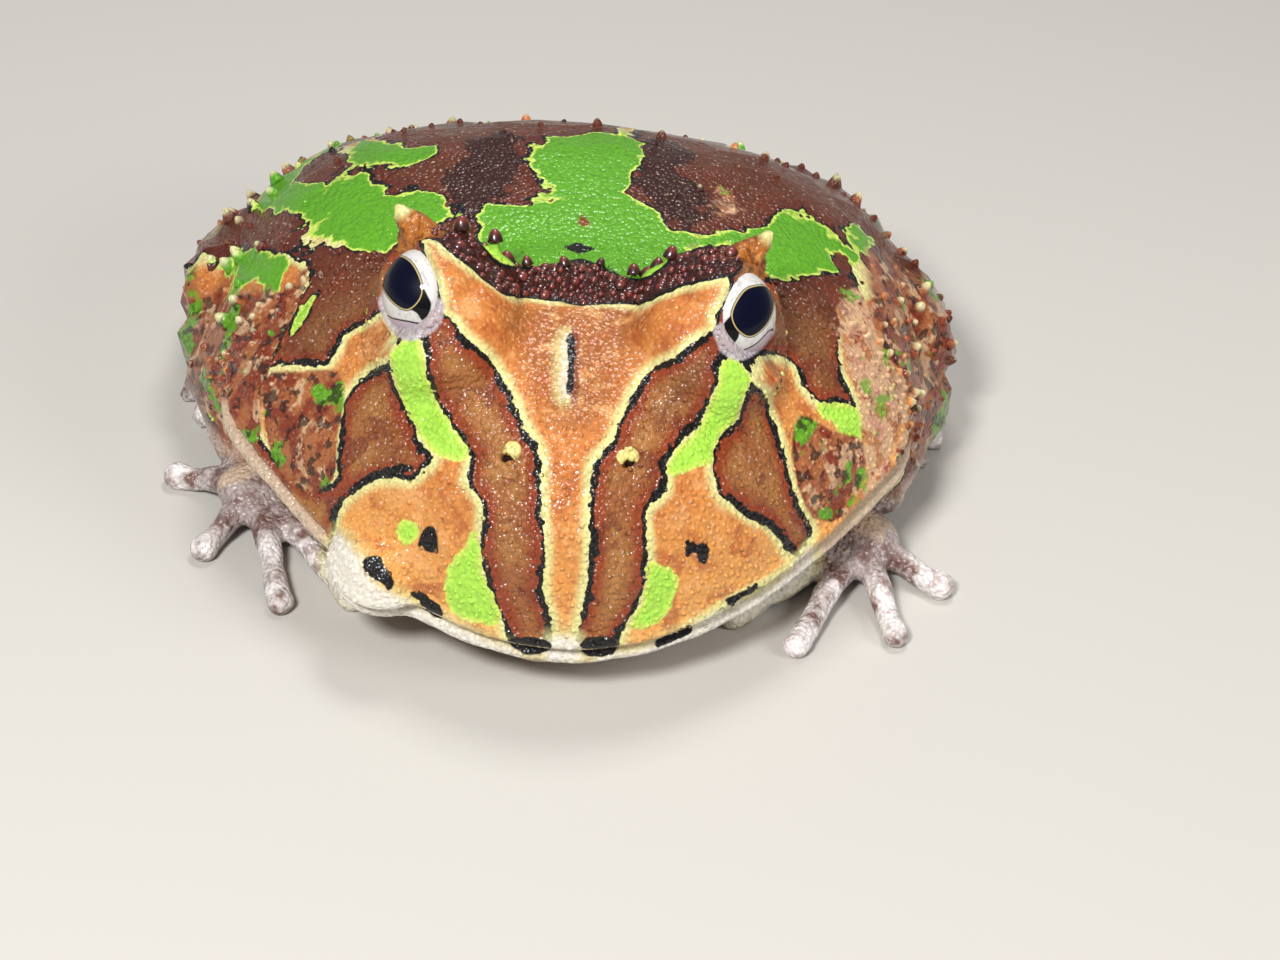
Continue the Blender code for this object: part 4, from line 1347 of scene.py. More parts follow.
@dataclass
class Skin:
    """One soft skin over every part of flesh, with mouth, nostrils, lids and lumps worked into it."""

    trunk: Trunk
    forms: HeadForms
    limbs: Limbs
    eye: Eye
    paint: Paint
    voxel: float = 0.36
    target_triangles: int = 192000
    jitter: float = 0.03
    # the head keeps more of its triangles: where, and by how much
    finer_ahead: Ramp = (-8.0, -20.0)
    finer_share: float = 0.6
    groove_depth: float = 1.0
    groove_half_width: float = 0.5
    # each lip's height over the mouth's plane, its half width and its rise
    lips: tuple[Point, ...] = ((1.4, 0.8, 0.5), (-1.3, 0.75, 0.35))
    # the lips end behind the eyes and where the skin isn't steep
    lips_end: Ramp = (-12.0, -16.0)
    lips_steep: Ramp = (-0.2, 0.25)
    # the chin's hollow, and where below the mouth it starts and ends
    chin_hollow: float = 0.5
    chin_span: tuple[Ramp, Ramp] = ((-1.5, -3.5), (-9.0, -5.0))
    nostril_rise: float = 0.4
    nostril_depth: float = 1.5
    nostril_power: float = 1.5
    # each field of lumps: wavelength, seed and height, the last one on the flanks alone
    lumps: tuple[tuple[float, int, float], ...] = ((8.0, 21, 0.14), (2.6, 22, 0.04))
    flank_lumps: tuple[float, int, float] = (5.0, 23, 0.3)
    lumps_behind: Ramp = (-14.0, 0.0)
    lumps_low: Ramp = (31.0, 22.0)
    # no lumps so close to the eyes' middles, and few so close to the mouth's line
    calm_eyes: Ramp = (6.2, 8.5)
    calm_mouth: float = 0.8
    calm_width: float = 2.0
    # smoothing goes in by the first share of the way to the neighbours' mean and out by the second
    smoothing: Pair = (0.5, -0.53)
    smooth_passes: int = 3
    # hollows fill everywhere but on the crest, and normals are read anew before some of the passes
    fill_passes: int = 90
    fill_refresh: tuple[int, ...] = (20, 40, 60)
    fill_share: float = 0.85
    crest_high: Ramp = (33.5, 35.5)
    crest_ahead: Ramp = (-13.0, -15.5)
    slide_share: float = 0.2
    points: Array = field(default_factory=lambda: np.zeros((0, 3)))
    normals: Array = field(default_factory=lambda: np.zeros((0, 3)))
    marks: dict[str, Array] = field(default_factory=dict)

    def fused(self) -> Mesh:
        """Fuse all the forms into one closed grid of small squares by a voxel remesh."""
        surfaces = [self.trunk.surface()]
        surfaces += self.forms.surfaces(self.trunk, self.eye)
        surfaces += self.limbs.surfaces()
        rough = make_object("rough_skin", *joined(surfaces))
        remesh = rough.modifiers.new("fuse", "REMESH")
        remesh.mode = "VOXEL"
        remesh.voxel_size = self.voxel * MM
        remesh.use_smooth_shade = True
        mesh = finished(rough)
        bpy.data.objects.remove(rough)
        return mesh

    @staticmethod
    def neighbours(points: Array, edges: Array, counts: Array) -> Array:
        """The mean of each point's neighbours.

        Args:
            points: Places in mm.
            edges: The two point numbers of each edge.
            counts: How many neighbours each point has.

        Returns:
            A place for each point.
        """
        made = np.empty_like(points)
        for k in range(3):
            total = np.bincount(edges[:, 0], points[edges[:, 1], k], len(points))
            total += np.bincount(edges[:, 1], points[edges[:, 0], k], len(points))
            made[:, k] = total / counts
        return made

    def relax(self, mesh: Mesh) -> None:
        """Smooth away the voxel steps, then fill hollows between forms by moving points outwards only.

        Args:
            mesh: The fused skin, which is changed.
        """
        points = read_points(mesh)
        flat = np.empty(len(mesh.edges) * 2, np.int32)
        mesh.edges.foreach_get("vertices", flat)
        edges = flat.reshape(-1, 2)
        counts = np.maximum(np.bincount(flat, minlength=len(points)), 1).astype(float)
        for _ in range(self.smooth_passes):
            for share in self.smoothing:
                points += share * (self.neighbours(points, edges, counts) - points)
        set_points(mesh, points)
        normals = read_normals(mesh)
        crest = smooth_step(*self.crest_high, points[:, 2]) * smooth_step(*self.crest_ahead, points[:, 1])
        strength = (1 - crest) * self.fill_share
        for step in range(self.fill_passes):
            if step in self.fill_refresh:
                set_points(mesh, points)
                normals = read_normals(mesh)
            pull = self.neighbours(points, edges, counts) - points
            out = (pull * normals).sum(axis=1)
            points += normals * (np.maximum(out, 0.0) * strength)[:, None]
            points += (pull - normals * out[:, None]) * self.slide_share
        set_points(mesh, points)

    def open_eyes(self, points: Array) -> Array:
        """Pull the skin in round each eye: inside the opening it lies within the eyeball, its rim is round.

        Args:
            points: Places in mm.

        Returns:
            The new places.
        """
        eye = self.eye
        moved = points.copy()
        for side in SIDES:
            centre, axis = mirrored(eye.centre, side), unit(mirrored(eye.axis, side))
            away = moved - centre
            reach = np.linalg.norm(away, axis=1)
            angle = np.degrees(np.arccos(np.clip(away @ axis / np.maximum(reach, 1e-6), -1.0, 1.0)))
            brow = mirrored(eye.brow_way, side)
            brow = unit(brow - axis * (brow @ axis))
            flat = away - (away @ axis)[:, None] * axis
            turn = flat @ brow / np.maximum(np.linalg.norm(flat, axis=1), 1e-6)
            angle = angle + eye.brow_cover * np.maximum(turn, 0.0) ** 2
            angle = angle - eye.lower_reach * np.maximum(-turn, 0.0) ** 2
            ramp, fade = ([eye.opening + by for by in shift] for shift in (eye.lid_ramp, eye.fade))
            rim = eye.rim_rise * np.exp(-(((angle - eye.opening - eye.rim_angle) / eye.rim_spread) ** 2))
            rise = (eye.lid_radius - eye.under_radius) * smooth_step(*ramp, angle)
            limit = eye.under_radius + rise + rim
            limit += eye.fade_rise * smooth_step(*fade, angle)
            near = (reach < eye.reach) & (angle < fade[1])
            short = near & (reach > limit)
            moved[short] = centre + away[short] * (limit[short] / reach[short])[:, None]
        return moved

    def carve(self, points: Array, normals: Array) -> Array:
        """Sink the mouth line between two lips, raise and open the nostrils, and add soft lumps.

        The groove is a bell across the mouth's tilted plane, each lip a wider bell beside it, each
        nostril a raised oval with a pit towards its lower, outer side.

        Args:
            points: Places in mm.
            normals: Directions there.

        Returns:
            How far each point moves out along its normal, in mm.
        """
        _, y, z = points.T
        h = self.trunk.over_mouth(points)
        steep = np.hypot(normals[:, 0], normals[:, 1])
        head = smooth_step(*self.lips_end, y) * smooth_step(*self.lips_steep, steep)
        rise = -self.groove_depth * np.exp(-((h / self.groove_half_width) ** 2))
        for level, half_width, height in self.lips:
            rise += height * np.exp(-(((h - level) / half_width) ** 2))
        start, end = self.chin_span
        rise -= self.chin_hollow * smooth_step(*start, h) * smooth_step(*end, h)
        moved = rise * head
        oval, pit = self.paint.nostril_marks(self.paint.camera.pixels(points), normals)
        moved += self.nostril_rise * oval - self.nostril_depth * pit**self.nostril_power
        broad, small = (height * waves(points, length, seed) for length, seed, height in self.lumps)
        lumps = broad + small
        flank = smooth_step(*self.lumps_behind, y) * smooth_step(*self.lumps_low, z)
        length, seed, height = self.flank_lumps
        lumps += flank * height * waves(points, length, seed)
        calm = np.ones(len(points))
        for side in SIDES:
            gap = np.linalg.norm(points - mirrored(self.eye.centre, side), axis=1)
            calm *= smooth_step(*self.calm_eyes, gap)
        calm *= 1 - self.calm_mouth * np.exp(-((h / self.calm_width) ** 2)) * head
        return moved + lumps * calm

    def build(self) -> Object:
        """Make the skin and its marking attributes.

        Returns:
            The finished object.
        """
        mesh = self.fused()
        LOG.info("fused skin: %d points", len(mesh.vertices))
        self.relax(mesh)
        points, normals = read_points(mesh), read_normals(mesh)
        points += normals * self.carve(points, normals)[:, None]
        points = self.open_eyes(points)
        points[:, 2] = np.maximum(points[:, 2], 0.0)
        set_points(mesh, points)
        skin = placed("skin", mesh)
        self.thin_out(skin)
        mesh = skin.data
        self.points, self.normals = read_points(mesh), read_normals(mesh)
        self.marks = self.paint.marks(self.points, self.normals)
        self.marks["horn"] = self.along_horns()
        for name, values in self.marks.items():
            set_values(mesh, name, values)
        return skin

    def thin_out(self, skin: Object) -> None:
        """Drop points until there are few enough triangles, fewer of them on the head.

        A jitter of a few hundredths of a mm keeps the triangles even where the skin is plain, because
        the marking distances are read along them.

        Args:
            skin: The skin's object, which gets the thinned mesh.
        """
        points = read_points(skin.data)
        shake = np.random.default_rng(5).uniform(-self.jitter, self.jitter, len(points))
        shake *= (points[:, 2] > 0.5).astype(float)
        set_points(skin.data, points + read_normals(skin.data) * shake[:, None])
        group = skin.vertex_groups.new(name="head")
        weight = smooth_step(*self.finer_ahead, points[:, 1])
        for level in (0.25, 0.5, 0.75, 1.0):
            chosen = np.nonzero((weight > level - 0.25) & (weight <= level))[0]
            group.add(chosen.tolist(), level, "REPLACE")
        # the fused grid is all squares, of two triangles each
        triangles = 2 * len(skin.data.polygons)
        thin = skin.modifiers.new("thin", "DECIMATE")
        thin.ratio = min(1.0, self.target_triangles / triangles)
        thin.vertex_group = "head"
        thin.invert_vertex_group = True
        thin.vertex_group_factor = self.finer_share
        mesh = finished(skin)
        kept = read_points(mesh)
        kept[:, 2] = np.maximum(kept[:, 2], 0.0)
        set_points(mesh, kept)
        skin.modifiers.clear()
        skin.data = mesh
        skin.vertex_groups.clear()
        mesh.polygons.foreach_set("use_smooth", np.ones(len(mesh.polygons), bool))

    def carry_marks(self, mesh: Mesh, picked: Array, each: int) -> None:
        """Give small shapes of so many points each the marks of the picked skin points under them."""
        for name, values in self.marks.items():
            set_values(mesh, name, np.repeat(values[picked], each))

    def along_horns(self) -> Array:
        """How far along its horn each point lies: 0 at the base, 1 at the tip and -1 elsewhere."""
        points = self.points
        along = np.full(len(points), -1.0)
        for side in SIDES:
            joints = np.array([mirrored(point, side) for point in self.forms.horn])
            for index, (start, end) in enumerate(zip(joints[:-1], joints[1:])):
                way = end - start
                share = np.clip((points - start) @ way / (way @ way), 0.0, 1.0)
                away = np.linalg.norm(points - start - share[:, None] * way, axis=1)
                radii = self.forms.horn_radii
                radius = radii[index] + (radii[index + 1] - radii[index]) * share
                near = away < radius + 0.7
                along = np.where(near, np.maximum(along, (index + share) / 2.0), along)
        return along


@dataclass
class Warts:
    """Cone-like tubercles on flanks, back and legs, each a small capped dome rooted in the skin."""

    skin: Skin
    seed: int = 11
    most: int = 3400
    around: int = 7
    profile: tuple[Pair, ...] = ((-0.55, 1.25), (0.05, 1.0), (0.45, 0.74), (0.8, 0.4))
    # the belt of large warts round the body: its height and half width in mm
    belt: Pair = (20.0, 9.0)
    # where the belt, the back's and the face's warts lie, and what they keep clear of, in mm
    body: Ramp = (-18.0, -8.0)
    steep: Ramp = (0.3, 0.6)
    upturned: Ramp = (0.3, 0.8)
    face: Ramp = (-10.0, -18.0)
    under_crest: Ramp = (33.0, 29.0)
    off_digits: Ramp = (2.0, 5.0)
    off_mouth: Ramp = (1.0, 2.2)
    off_floor: Ramp = (3.0, 6.0)
    # how likely warts are on the back and the face, as a share of the belt's, and on green skin
    top_share: float = 0.5
    face_share: float = 0.35
    green_share: float = 0.25
    # radius and height in mm: the least, and what a wart of size one has more
    radius: Pair = (0.24, 0.72)
    height: Pair = (0.16, 1.35)
    lean: float = 0.16
    upward: float = 0.18

    def density(self, points: Array, normals: Array) -> tuple[Array, Array]:
        """How likely a wart is at each point, and how big.

        Args:
            points: Places in mm.
            normals: Directions there.

        Returns:
            A chance from 0 to 1 and a size from 0 to 1.
        """
        x, y, z = points.T
        behind = smooth_step(*self.body, y)
        steep = np.hypot(normals[:, 0], normals[:, 1])
        level, spread = self.belt
        rim = np.exp(-(((z - level) / spread) ** 2)) * smooth_step(*self.steep, steep) * behind
        top = smooth_step(*self.upturned, normals[:, 2]) * behind
        top *= np.where(self.skin.marks["green"] > 0.0, self.green_share, 1.0)
        face = smooth_step(*self.face, y) * smooth_step(*self.under_crest, z)
        h = (z - self.skin.trunk.mouth_height(y)) * smooth_step(-8.0, -14.0, y) + 9.0 * behind
        clear = smooth_step(*self.off_digits, self.skin.limbs.distance(points, ("hand", "foot")))
        chance = np.maximum.reduce([rim, self.top_share * top, self.face_share * face])
        chance *= smooth_step(*self.off_mouth, h)
        chance *= smooth_step(*self.off_floor, z) * clear
        size = np.maximum(rim, 0.12 + 0.36 * top)
        return chance, size

    def roots(self) -> tuple[Array, Array]:
        """Pick root points at seeded random, each one clear of those already picked.

        Returns:
            Point numbers of the skin and a size for each.
        """
        rng = np.random.default_rng(self.seed)
        points, normals = self.skin.points, self.skin.normals
        chance, size = self.density(points, normals)
        order = rng.permutation(len(points))
        order = order[rng.uniform(size=len(order)) < 0.8 * chance[order]]
        sizes = np.clip(size[order] * (0.3 + 0.85 * rng.uniform(size=len(order)) ** 1.5), 0.08, 1.1)
        radii = 0.24 + 0.7 * sizes
        gaps = 0.05 + 0.4 * rng.uniform(size=len(order))
        taken = spaced(points, order, radii, gaps, self.most)
        return order[taken], sizes[taken]

    def build(self) -> Object:
        """Make the warts: blunt cones that lean a little upwards, each with a sunk root ring.

        Returns:
            The joined mesh.
        """
        rng = np.random.default_rng(self.seed + 1)
        picked, size = self.roots()
        roots, out = self.skin.points[picked], self.skin.normals[picked]
        lean = rng.normal(scale=self.lean, size=out.shape)
        up = out + lean + np.array([0.0, 0.0, self.upward])
        up /= np.linalg.norm(up, axis=1)[:, None]
        height = self.height[0] + self.height[1] * size**1.3
        radius = self.radius[0] + self.radius[1] * size
        made = domes("warts", roots, out, up, height, radius, self.profile, self.around)
        each = len(self.profile) * self.around + 2
        self.colour(made.data, picked, size, each)
        return made

    def colour(self, mesh: Mesh, picked: Array, size: Array, each: int) -> None:
        """Carry the skin's marks at each root to its wart, and lighten the tips of the big ones.

        Args:
            mesh: The warts.
            picked: The skin point under each wart.
            size: Each wart's size from 0 to 1.
            each: How many points one wart has.
        """
        self.skin.carry_marks(mesh, picked, each)
        step = np.concatenate([np.repeat([0.0, 0.12, 0.45, 0.8], self.around), [1.0, 0.0]])
        bright = smooth_step(0.25, 0.75, size)
        set_values(mesh, "tip", (step[None] * bright[:, None]).reshape(-1))


@dataclass
class CrestKnobs:
    """The brow crest's glossy lumps, and the row of pointed teeth along its rear edge."""

    skin: Skin
    seed: int = 31
    most: int = 260
    around: int = 12
    pitch: float = 1.3
    rear: float = 1.0
    # height and width of a tooth of size one in mm, and height of a lump as a share of its radius
    tooth: Pair = (1.25, 0.85)
    lump_height: float = 0.85
    lump_overlap: float = 0.14
    # how far the teeth lean sideways, back and up, and how much each one strays
    lean: Point = (0.15, 0.3, 0.9)
    stray: float = 0.12
    profile: tuple[Pair, ...] = (
        (-0.5, 1.2), (0.0, 1.1), (0.3, 0.98), (0.58, 0.78), (0.8, 0.52), (0.94, 0.27))

    def teeth(self, rng: np.random.Generator) -> tuple[Array, Array]:
        """The skin points that carry the teeth, and each tooth's size, larger towards the horns.

        Args:
            rng: The seeded source of small differences.

        Returns:
            Point numbers and sizes.
        """
        forms, trunk = self.skin.forms, self.skin.trunk
        half = forms.crest_half
        xs = np.arange(-half, half + 0.01, self.pitch)
        xs = xs + rng.uniform(-0.25, 0.25, len(xs))
        line = forms.crest_line(trunk, np.clip(xs, -half, half))
        upward = np.nonzero(self.skin.normals[:, 2] > 0.1)[0]
        plan = self.skin.points[upward][:, :2]
        wanted = line[:, :2] + np.array([0.0, self.rear])
        nearest = ((wanted[:, None] - plan[None]) ** 2).sum(axis=2).argmin(axis=1)
        return upward[nearest], 0.6 + 0.35 * (np.abs(xs) / half) + rng.uniform(-0.12, 0.12, len(xs))

    def lumps(self, rng: np.random.Generator) -> tuple[Array, Array]:
        """Skin points spaced over the crest's dark band, and each lump's size.

        Args:
            rng: The seeded source of the order and the sizes.

        Returns:
            Point numbers and sizes.
        """
        band = np.nonzero(self.skin.marks["maroon"] > 0.25)[0]
        order = rng.permutation(band)
        sizes = 0.32 + 0.45 * rng.uniform(size=len(order)) ** 2
        gaps = np.full(len(order), -self.lump_overlap)
        taken = spaced(self.skin.points, order, sizes, gaps, self.most)
        return order[taken], sizes[taken]

    def build(self) -> Object:
        """Make the lumps as low domes and the teeth as cones that lean back and outwards.

        Returns:
            The joined mesh.
        """
        rng = np.random.default_rng(self.seed)
        toothed, tall = self.teeth(rng)
        lumped, wide = self.lumps(rng)
        picked = np.concatenate([toothed, lumped])
        out = self.skin.normals[picked]
        sideways, back, rise = self.lean
        side = np.sign(self.skin.points[toothed, 0]) * sideways
        lean = np.column_stack([side, np.full(len(side), back), np.full(len(side), rise)])
        up = np.vstack([lean + rng.normal(scale=self.stray, size=lean.shape), out[len(toothed):]])
        up /= np.linalg.norm(up, axis=1)[:, None]
        heights = np.concatenate([self.tooth[0] * tall, self.lump_height * wide])
        radii = np.concatenate([self.tooth[1] * tall, wide])
        roots = self.skin.points[picked]
        made = domes("crest_knobs", roots, out, up, heights, radii, self.profile, self.around)
        # each point's height on its lump, which the crest's material turns into painted shade towards the
        # lump's foot
        levels = np.array(self.profile)[:, 0]
        rise = np.concatenate([np.repeat(levels, self.around), [1.0, -0.5]])
        set_values(made.data, "rise", np.tile(rise, len(picked)))
        return made


@dataclass(frozen=True)
class WetCrest:
    """Horny skin of the brow crest under water: painted near-black shade in the cracks at each lump's foot,
    red-brown higher up each lump.

    The film of water is thick here, so every lump carries one sharp white highlight.
    """

    maroon: str = "#300F0C"
    red: str = "#7E3028"
    patch_mm: float = 1.6

    def material(self) -> Material:
        """Build the node tree from how high each point lies on its lump, with painted shade towards its
        foot.

        Returns:
            The material for the crest's lumps and teeth.
        """
        made, shader = new_material("wet_horny_crest", {
            "Roughness": 0.4, "Coat Weight": 1.0, "Coat Roughness": 0.12, "Coat IOR": 1.45})
        tree = made.node_tree
        place = add(tree, "TexCoord").outputs["Object"]
        rise = add(tree, "Attribute", attribute_name="rise").outputs["Fac"]
        patches = add(tree, "TexNoise", {"Vector": place, "Scale": 1 / (self.patch_mm * MM)})
        colour = WetSkin.stacked(tree, linear(self.maroon), (
            # painted shade: maroon at each lump's foot, red towards its top
            (rise, 0.1, 0.9, 0.8, self.red),
            (patches.outputs["Fac"], 0.52, 0.66, 0.7, self.maroon),
        ))
        tree.links.new(colour, shader.inputs["Base Color"])
        bump = add(tree, "Bump", {"Height": patches.outputs["Fac"], "Distance": 0.15 * MM})
        tree.links.new(bump.outputs[0], shader.inputs["Normal"])
        return made


@dataclass(frozen=True)
class WetSkin:
    """Living frog skin, moist and granular: a matt pigment layer under a thin film of water.

    The film gives small sharp highlights on every granule; the pigment has hard, ragged borders with a
    yellow rim round the light areas and a black line outside it.
    """

    orange: str = "#C27638"
    orange_deep: str = "#965626"
    orange_pale: str = "#DFA468"
    orange_rust: str = "#A8562A"
    orange_snout: str = "#DE9C50"
    rim_yellow: str = "#DAD48E"
    black: str = "#0A0706"
    rust: str = "#7E331A"
    rust_red: str = "#883014"
    olive: str = "#99602F"
    olive_pale: str = "#A87440"
    back_brown: str = "#552011"
    temple: str = "#5C2C16"
    furrow: str = "#34130C"
    green_face: str = "#A4D648"
    green_back: str = "#5A9C1C"
    green_rim: str = "#BFD65A"
    white: str = "#DED6C8"
    maroon: str = "#3A120C"
    granule_tip_and_glint: str = "#D8B49C"
    cream: str = "#C9B097"
    flank_cream: str = "#C9A27C"
    flank_pink: str = "#B98270"
    tan: str = "#A8683C"
    speck: str = "#1E0B07"
    pink: str = "#E8DFDC"
    pink_dark: str = "#7A5A50"
    # colour of the painted shade over the palm and wrist
    painted_palm_shade: str = "#6E4C46"
    lid_pale: str = "#BDB0B2"
    wart_tip: str = "#DAD3A0"
    red: str = "#7A2212"
    horn: str = "#A3601F"
    horn_dark: str = "#5A2812"
    nostril: str = "#D9CB7C"
    granule_mm: float = 0.55
    large_granule_mm: float = 0.9
    granule_height_mm: float = 0.24
    attributes: tuple[str, ...] = (
        "light", "green", "white", "black", "red", "maroon", "flank_cream", "mottle", "furrow", "shade",
        "lid", "temple", "nostril", "pit", "back", "pale", "cream", "painted_palm_shade", "mouth", "horn", "tip")
    # each noise's name, the width of its blobs in mm and its detail
    noises: tuple[tuple[str, float, float], ...] = (
        ("fine", 1.1, 3.0), ("broad", 5.5, 3.0), ("blobs", 2.6, 2.0), ("spots", 1.5, 2.0),
        ("speck", 0.42, 2.0), ("streaks", 3.4, 4.0))
    noise_rough: float = 0.55
    # how far each marking's border swings in mm by the fine noise, and on the back by the blobs
    swings: tuple[tuple[str, float, float], ...] = (
        ("light", 1.1, 5.0), ("green", 0.9, 5.0), ("black", 0.8, 3.0), ("white", 0.9, 0.0),
        ("maroon", 0.6, 0.0), ("flank_cream", 3.0, 4.0), ("furrow", 1.2, 5.0), ("lid", 0.4, 0.0))
    outline_swing: float = 2.4

    def material(self) -> Material:
        """Build the node tree: ragged borders, a stack of pigment layers, granules and the wet film.

        Returns:
            The material for skin and warts.
        """
        made, shader = new_material("moist_frog_skin", {
            "Roughness": 0.55, "Specular IOR Level": 0.25, "Coat Weight": 0.9, "Coat Roughness": 0.14,
            "Coat IOR": 1.36})
        tree = made.node_tree
        place = add(tree, "TexCoord").outputs["Object"]
        marks = {
            name: add(tree, "Attribute", attribute_name=name).outputs["Fac"]
            for name in self.attributes
        }
        noises = {
            name: add(tree, "TexNoise", {"Vector": place, "Scale": 1 / (size * MM), "Detail": detail,
                                         "Roughness": self.noise_rough}).outputs["Fac"]
            for name, size, detail in self.noises
        }
        granules = add(tree, "TexVoronoi", {"Vector": place,
                                            "Scale": 1 / (self.granule_mm * MM)}).outputs["Distance"]
        # pale granule tips, partly painted glints of the wet film
        tip = self.tips(tree, place)
        ragged = self.borders(tree, marks, noises)
        colour = self.pigments(tree, marks, noises, ragged, tip)
        # painted shade in the granules' creases and painted light on their tops, with a speckled tone
        colour = self.painted_granule_shade_and_speckle(tree, colour, granules, noises["speck"])
        normal = self.relief(tree, granules, tip, noises, ragged["light"])
        tree.links.new(colour, shader.inputs["Base Color"])
        tree.links.new(normal, shader.inputs["Normal"])
        tree.links.new(normal, shader.inputs["Coat Normal"])
        return made

    def tips(self, tree: NodeTree, place: NodeSocket) -> NodeSocket:
        """Small pale tips on about half of the larger granules: partly their own pale colour, partly
        painted glints of the wet film.

        Args:
            tree: The node tree.
            place: Object coordinates.

        Returns:
            1 on a tip and 0 elsewhere.
        """
        large = add(tree, "TexVoronoi", {"Vector": place, "Scale": 1 / (self.large_granule_mm * MM)})
        chosen = add(tree, "SeparateColor", {"Color": large.outputs["Color"]}).outputs["Red"]
        chosen = add(tree, "Math", {0: chosen, 1: 0.4}, operation="GREATER_THAN").outputs[0]
        tip = add(tree, "MapRange", {"Value": large.outputs["Distance"], "From Min": 0.23,
                                     "From Max": 0.1}).outputs[0]
        return add(tree, "Math", {0: tip, 1: chosen}, operation="MULTIPLY").outputs[0]

    def borders(self, tree: NodeTree, marks: Sockets, noises: Sockets) -> Sockets:
        """Markings with ragged borders, which on the back also wander by the blobs.

        Args:
            tree: The node tree.
            marks: The markings' distances in mm by name.
            noises: The noises by name.

        Returns:
            The moved distances by name, and "outer", on which the black outline ends.
        """
        centred = add(tree, "Math", {0: noises["fine"], 1: 0.5}, operation="SUBTRACT").outputs[0]
        swing = add(tree, "Math", {0: noises["blobs"], 1: 0.5}, operation="SUBTRACT").outputs[0]
        swing = add(tree, "Math", {0: swing, 1: marks["back"]}, operation="MULTIPLY").outputs[0]
        ragged = {}
        for name, strength, wander in self.swings:
            moved = add(tree, "Math", {0: swing, 1: wander, 2: marks[name]},
                        operation="MULTIPLY_ADD").outputs[0]
            ragged[name] = add(tree, "Math", {0: centred, 1: strength, 2: moved},
                               operation="MULTIPLY_ADD").outputs[0]
        # the black outline's outer edge swells and thins along the way
        sway = add(tree, "Math", {0: noises["streaks"], 1: 0.5}, operation="SUBTRACT").outputs[0]
        ragged["outer"] = add(tree, "Math", {0: sway, 1: self.outline_swing, 2: ragged["light"]},
                              operation="MULTIPLY_ADD").outputs[0]
        return ragged

    def pigments(self, tree: NodeTree, marks: Sockets, noises: Sockets, ragged: Sockets,
                 tip: NodeSocket) -> NodeSocket:
        """Lay the pigments, the painted shade and the painted glints over one another, from the dark
        stripes up to the warts' pale tips.

        Args:
            tree: The node tree.
            marks: The markings' distances by name.
            noises: The noises by name.
            ragged: The markings with ragged borders.
            tip: The large granules' pale tips.

        Returns:
            The colour.
        """
        fine, broad, blobs, spots = (noises[name] for name in ("fine", "broad", "blobs", "spots"))
        # two pigments of the same place, mixed by where it lies: orange by the mouth, green on the back
        paired = {}
        for name, driver, start, full, first, second in (
            ("snout", marks["mouth"], 17.0, 3.0, self.orange, self.orange_snout),
            ("green", marks["back"], 0.0, 0.3, self.green_face, self.green_back),
            ("hand", blobs, 0.44, 0.66, self.pink, self.pink_dark),
        ):
            ramp = add(tree, "MapRange", {"Value": driver, "From Min": start, "From Max": full})
            paired[name] = add(tree, "Mix", {0: ramp.outputs[0], 6: linear(first), 7: linear(second)},
                               data_type="RGBA").outputs[2]
        orange = self.stacked(tree, paired["snout"], (
            (marks["shade"], -1.5, 2.0, 0.8, self.orange_deep),
            (noises["streaks"], 0.46, 0.36, 0.55, self.orange_pale),
            (noises["streaks"], 0.52, 0.64, 0.7, self.orange_rust),
            (spots, 0.62, 0.7, 0.45, self.orange_rust),
            (noises["speck"], 0.6, 0.7, 0.5, self.orange_pale),
        ))
        mottled = self.stacked(tree, linear(self.rust), (
            (noises["streaks"], 0.46, 0.58, 0.8, self.tan),
            (blobs, 0.55, 0.62, 0.85, self.flank_cream),
            (broad, 0.56, 0.6, 0.9, self.green_back),
            (spots, 0.53, 0.61, 0.8, self.speck),
        ))
        flank = self.stacked(tree, linear(self.flank_cream), (
            (noises["streaks"], 0.5, 0.6, 0.8, self.flank_pink),
            (blobs, 0.56, 0.62, 0.8, self.tan),
            (broad, 0.57, 0.62, 0.8, self.green_back),
            (spots, 0.6, 0.66, 0.8, self.rust),
        ))
        horned = self.stacked(tree, linear(self.horn), (
            (fine, 0.52, 0.62, 0.7, self.horn_dark),
            (spots, 0.6, 0.68, 0.5, self.orange_pale),
            (marks["horn"], 0.35, 0.1, 0.7, self.horn_dark),
        ))
        hand = self.stacked(tree, paired["hand"], (
            # painted shade over the palm and wrist
            (marks["painted_palm_shade"], 0.0, 1.0, 0.62, self.painted_palm_shade),
            (noises["speck"], 0.56, 0.68, 0.45, self.pink),
        ))
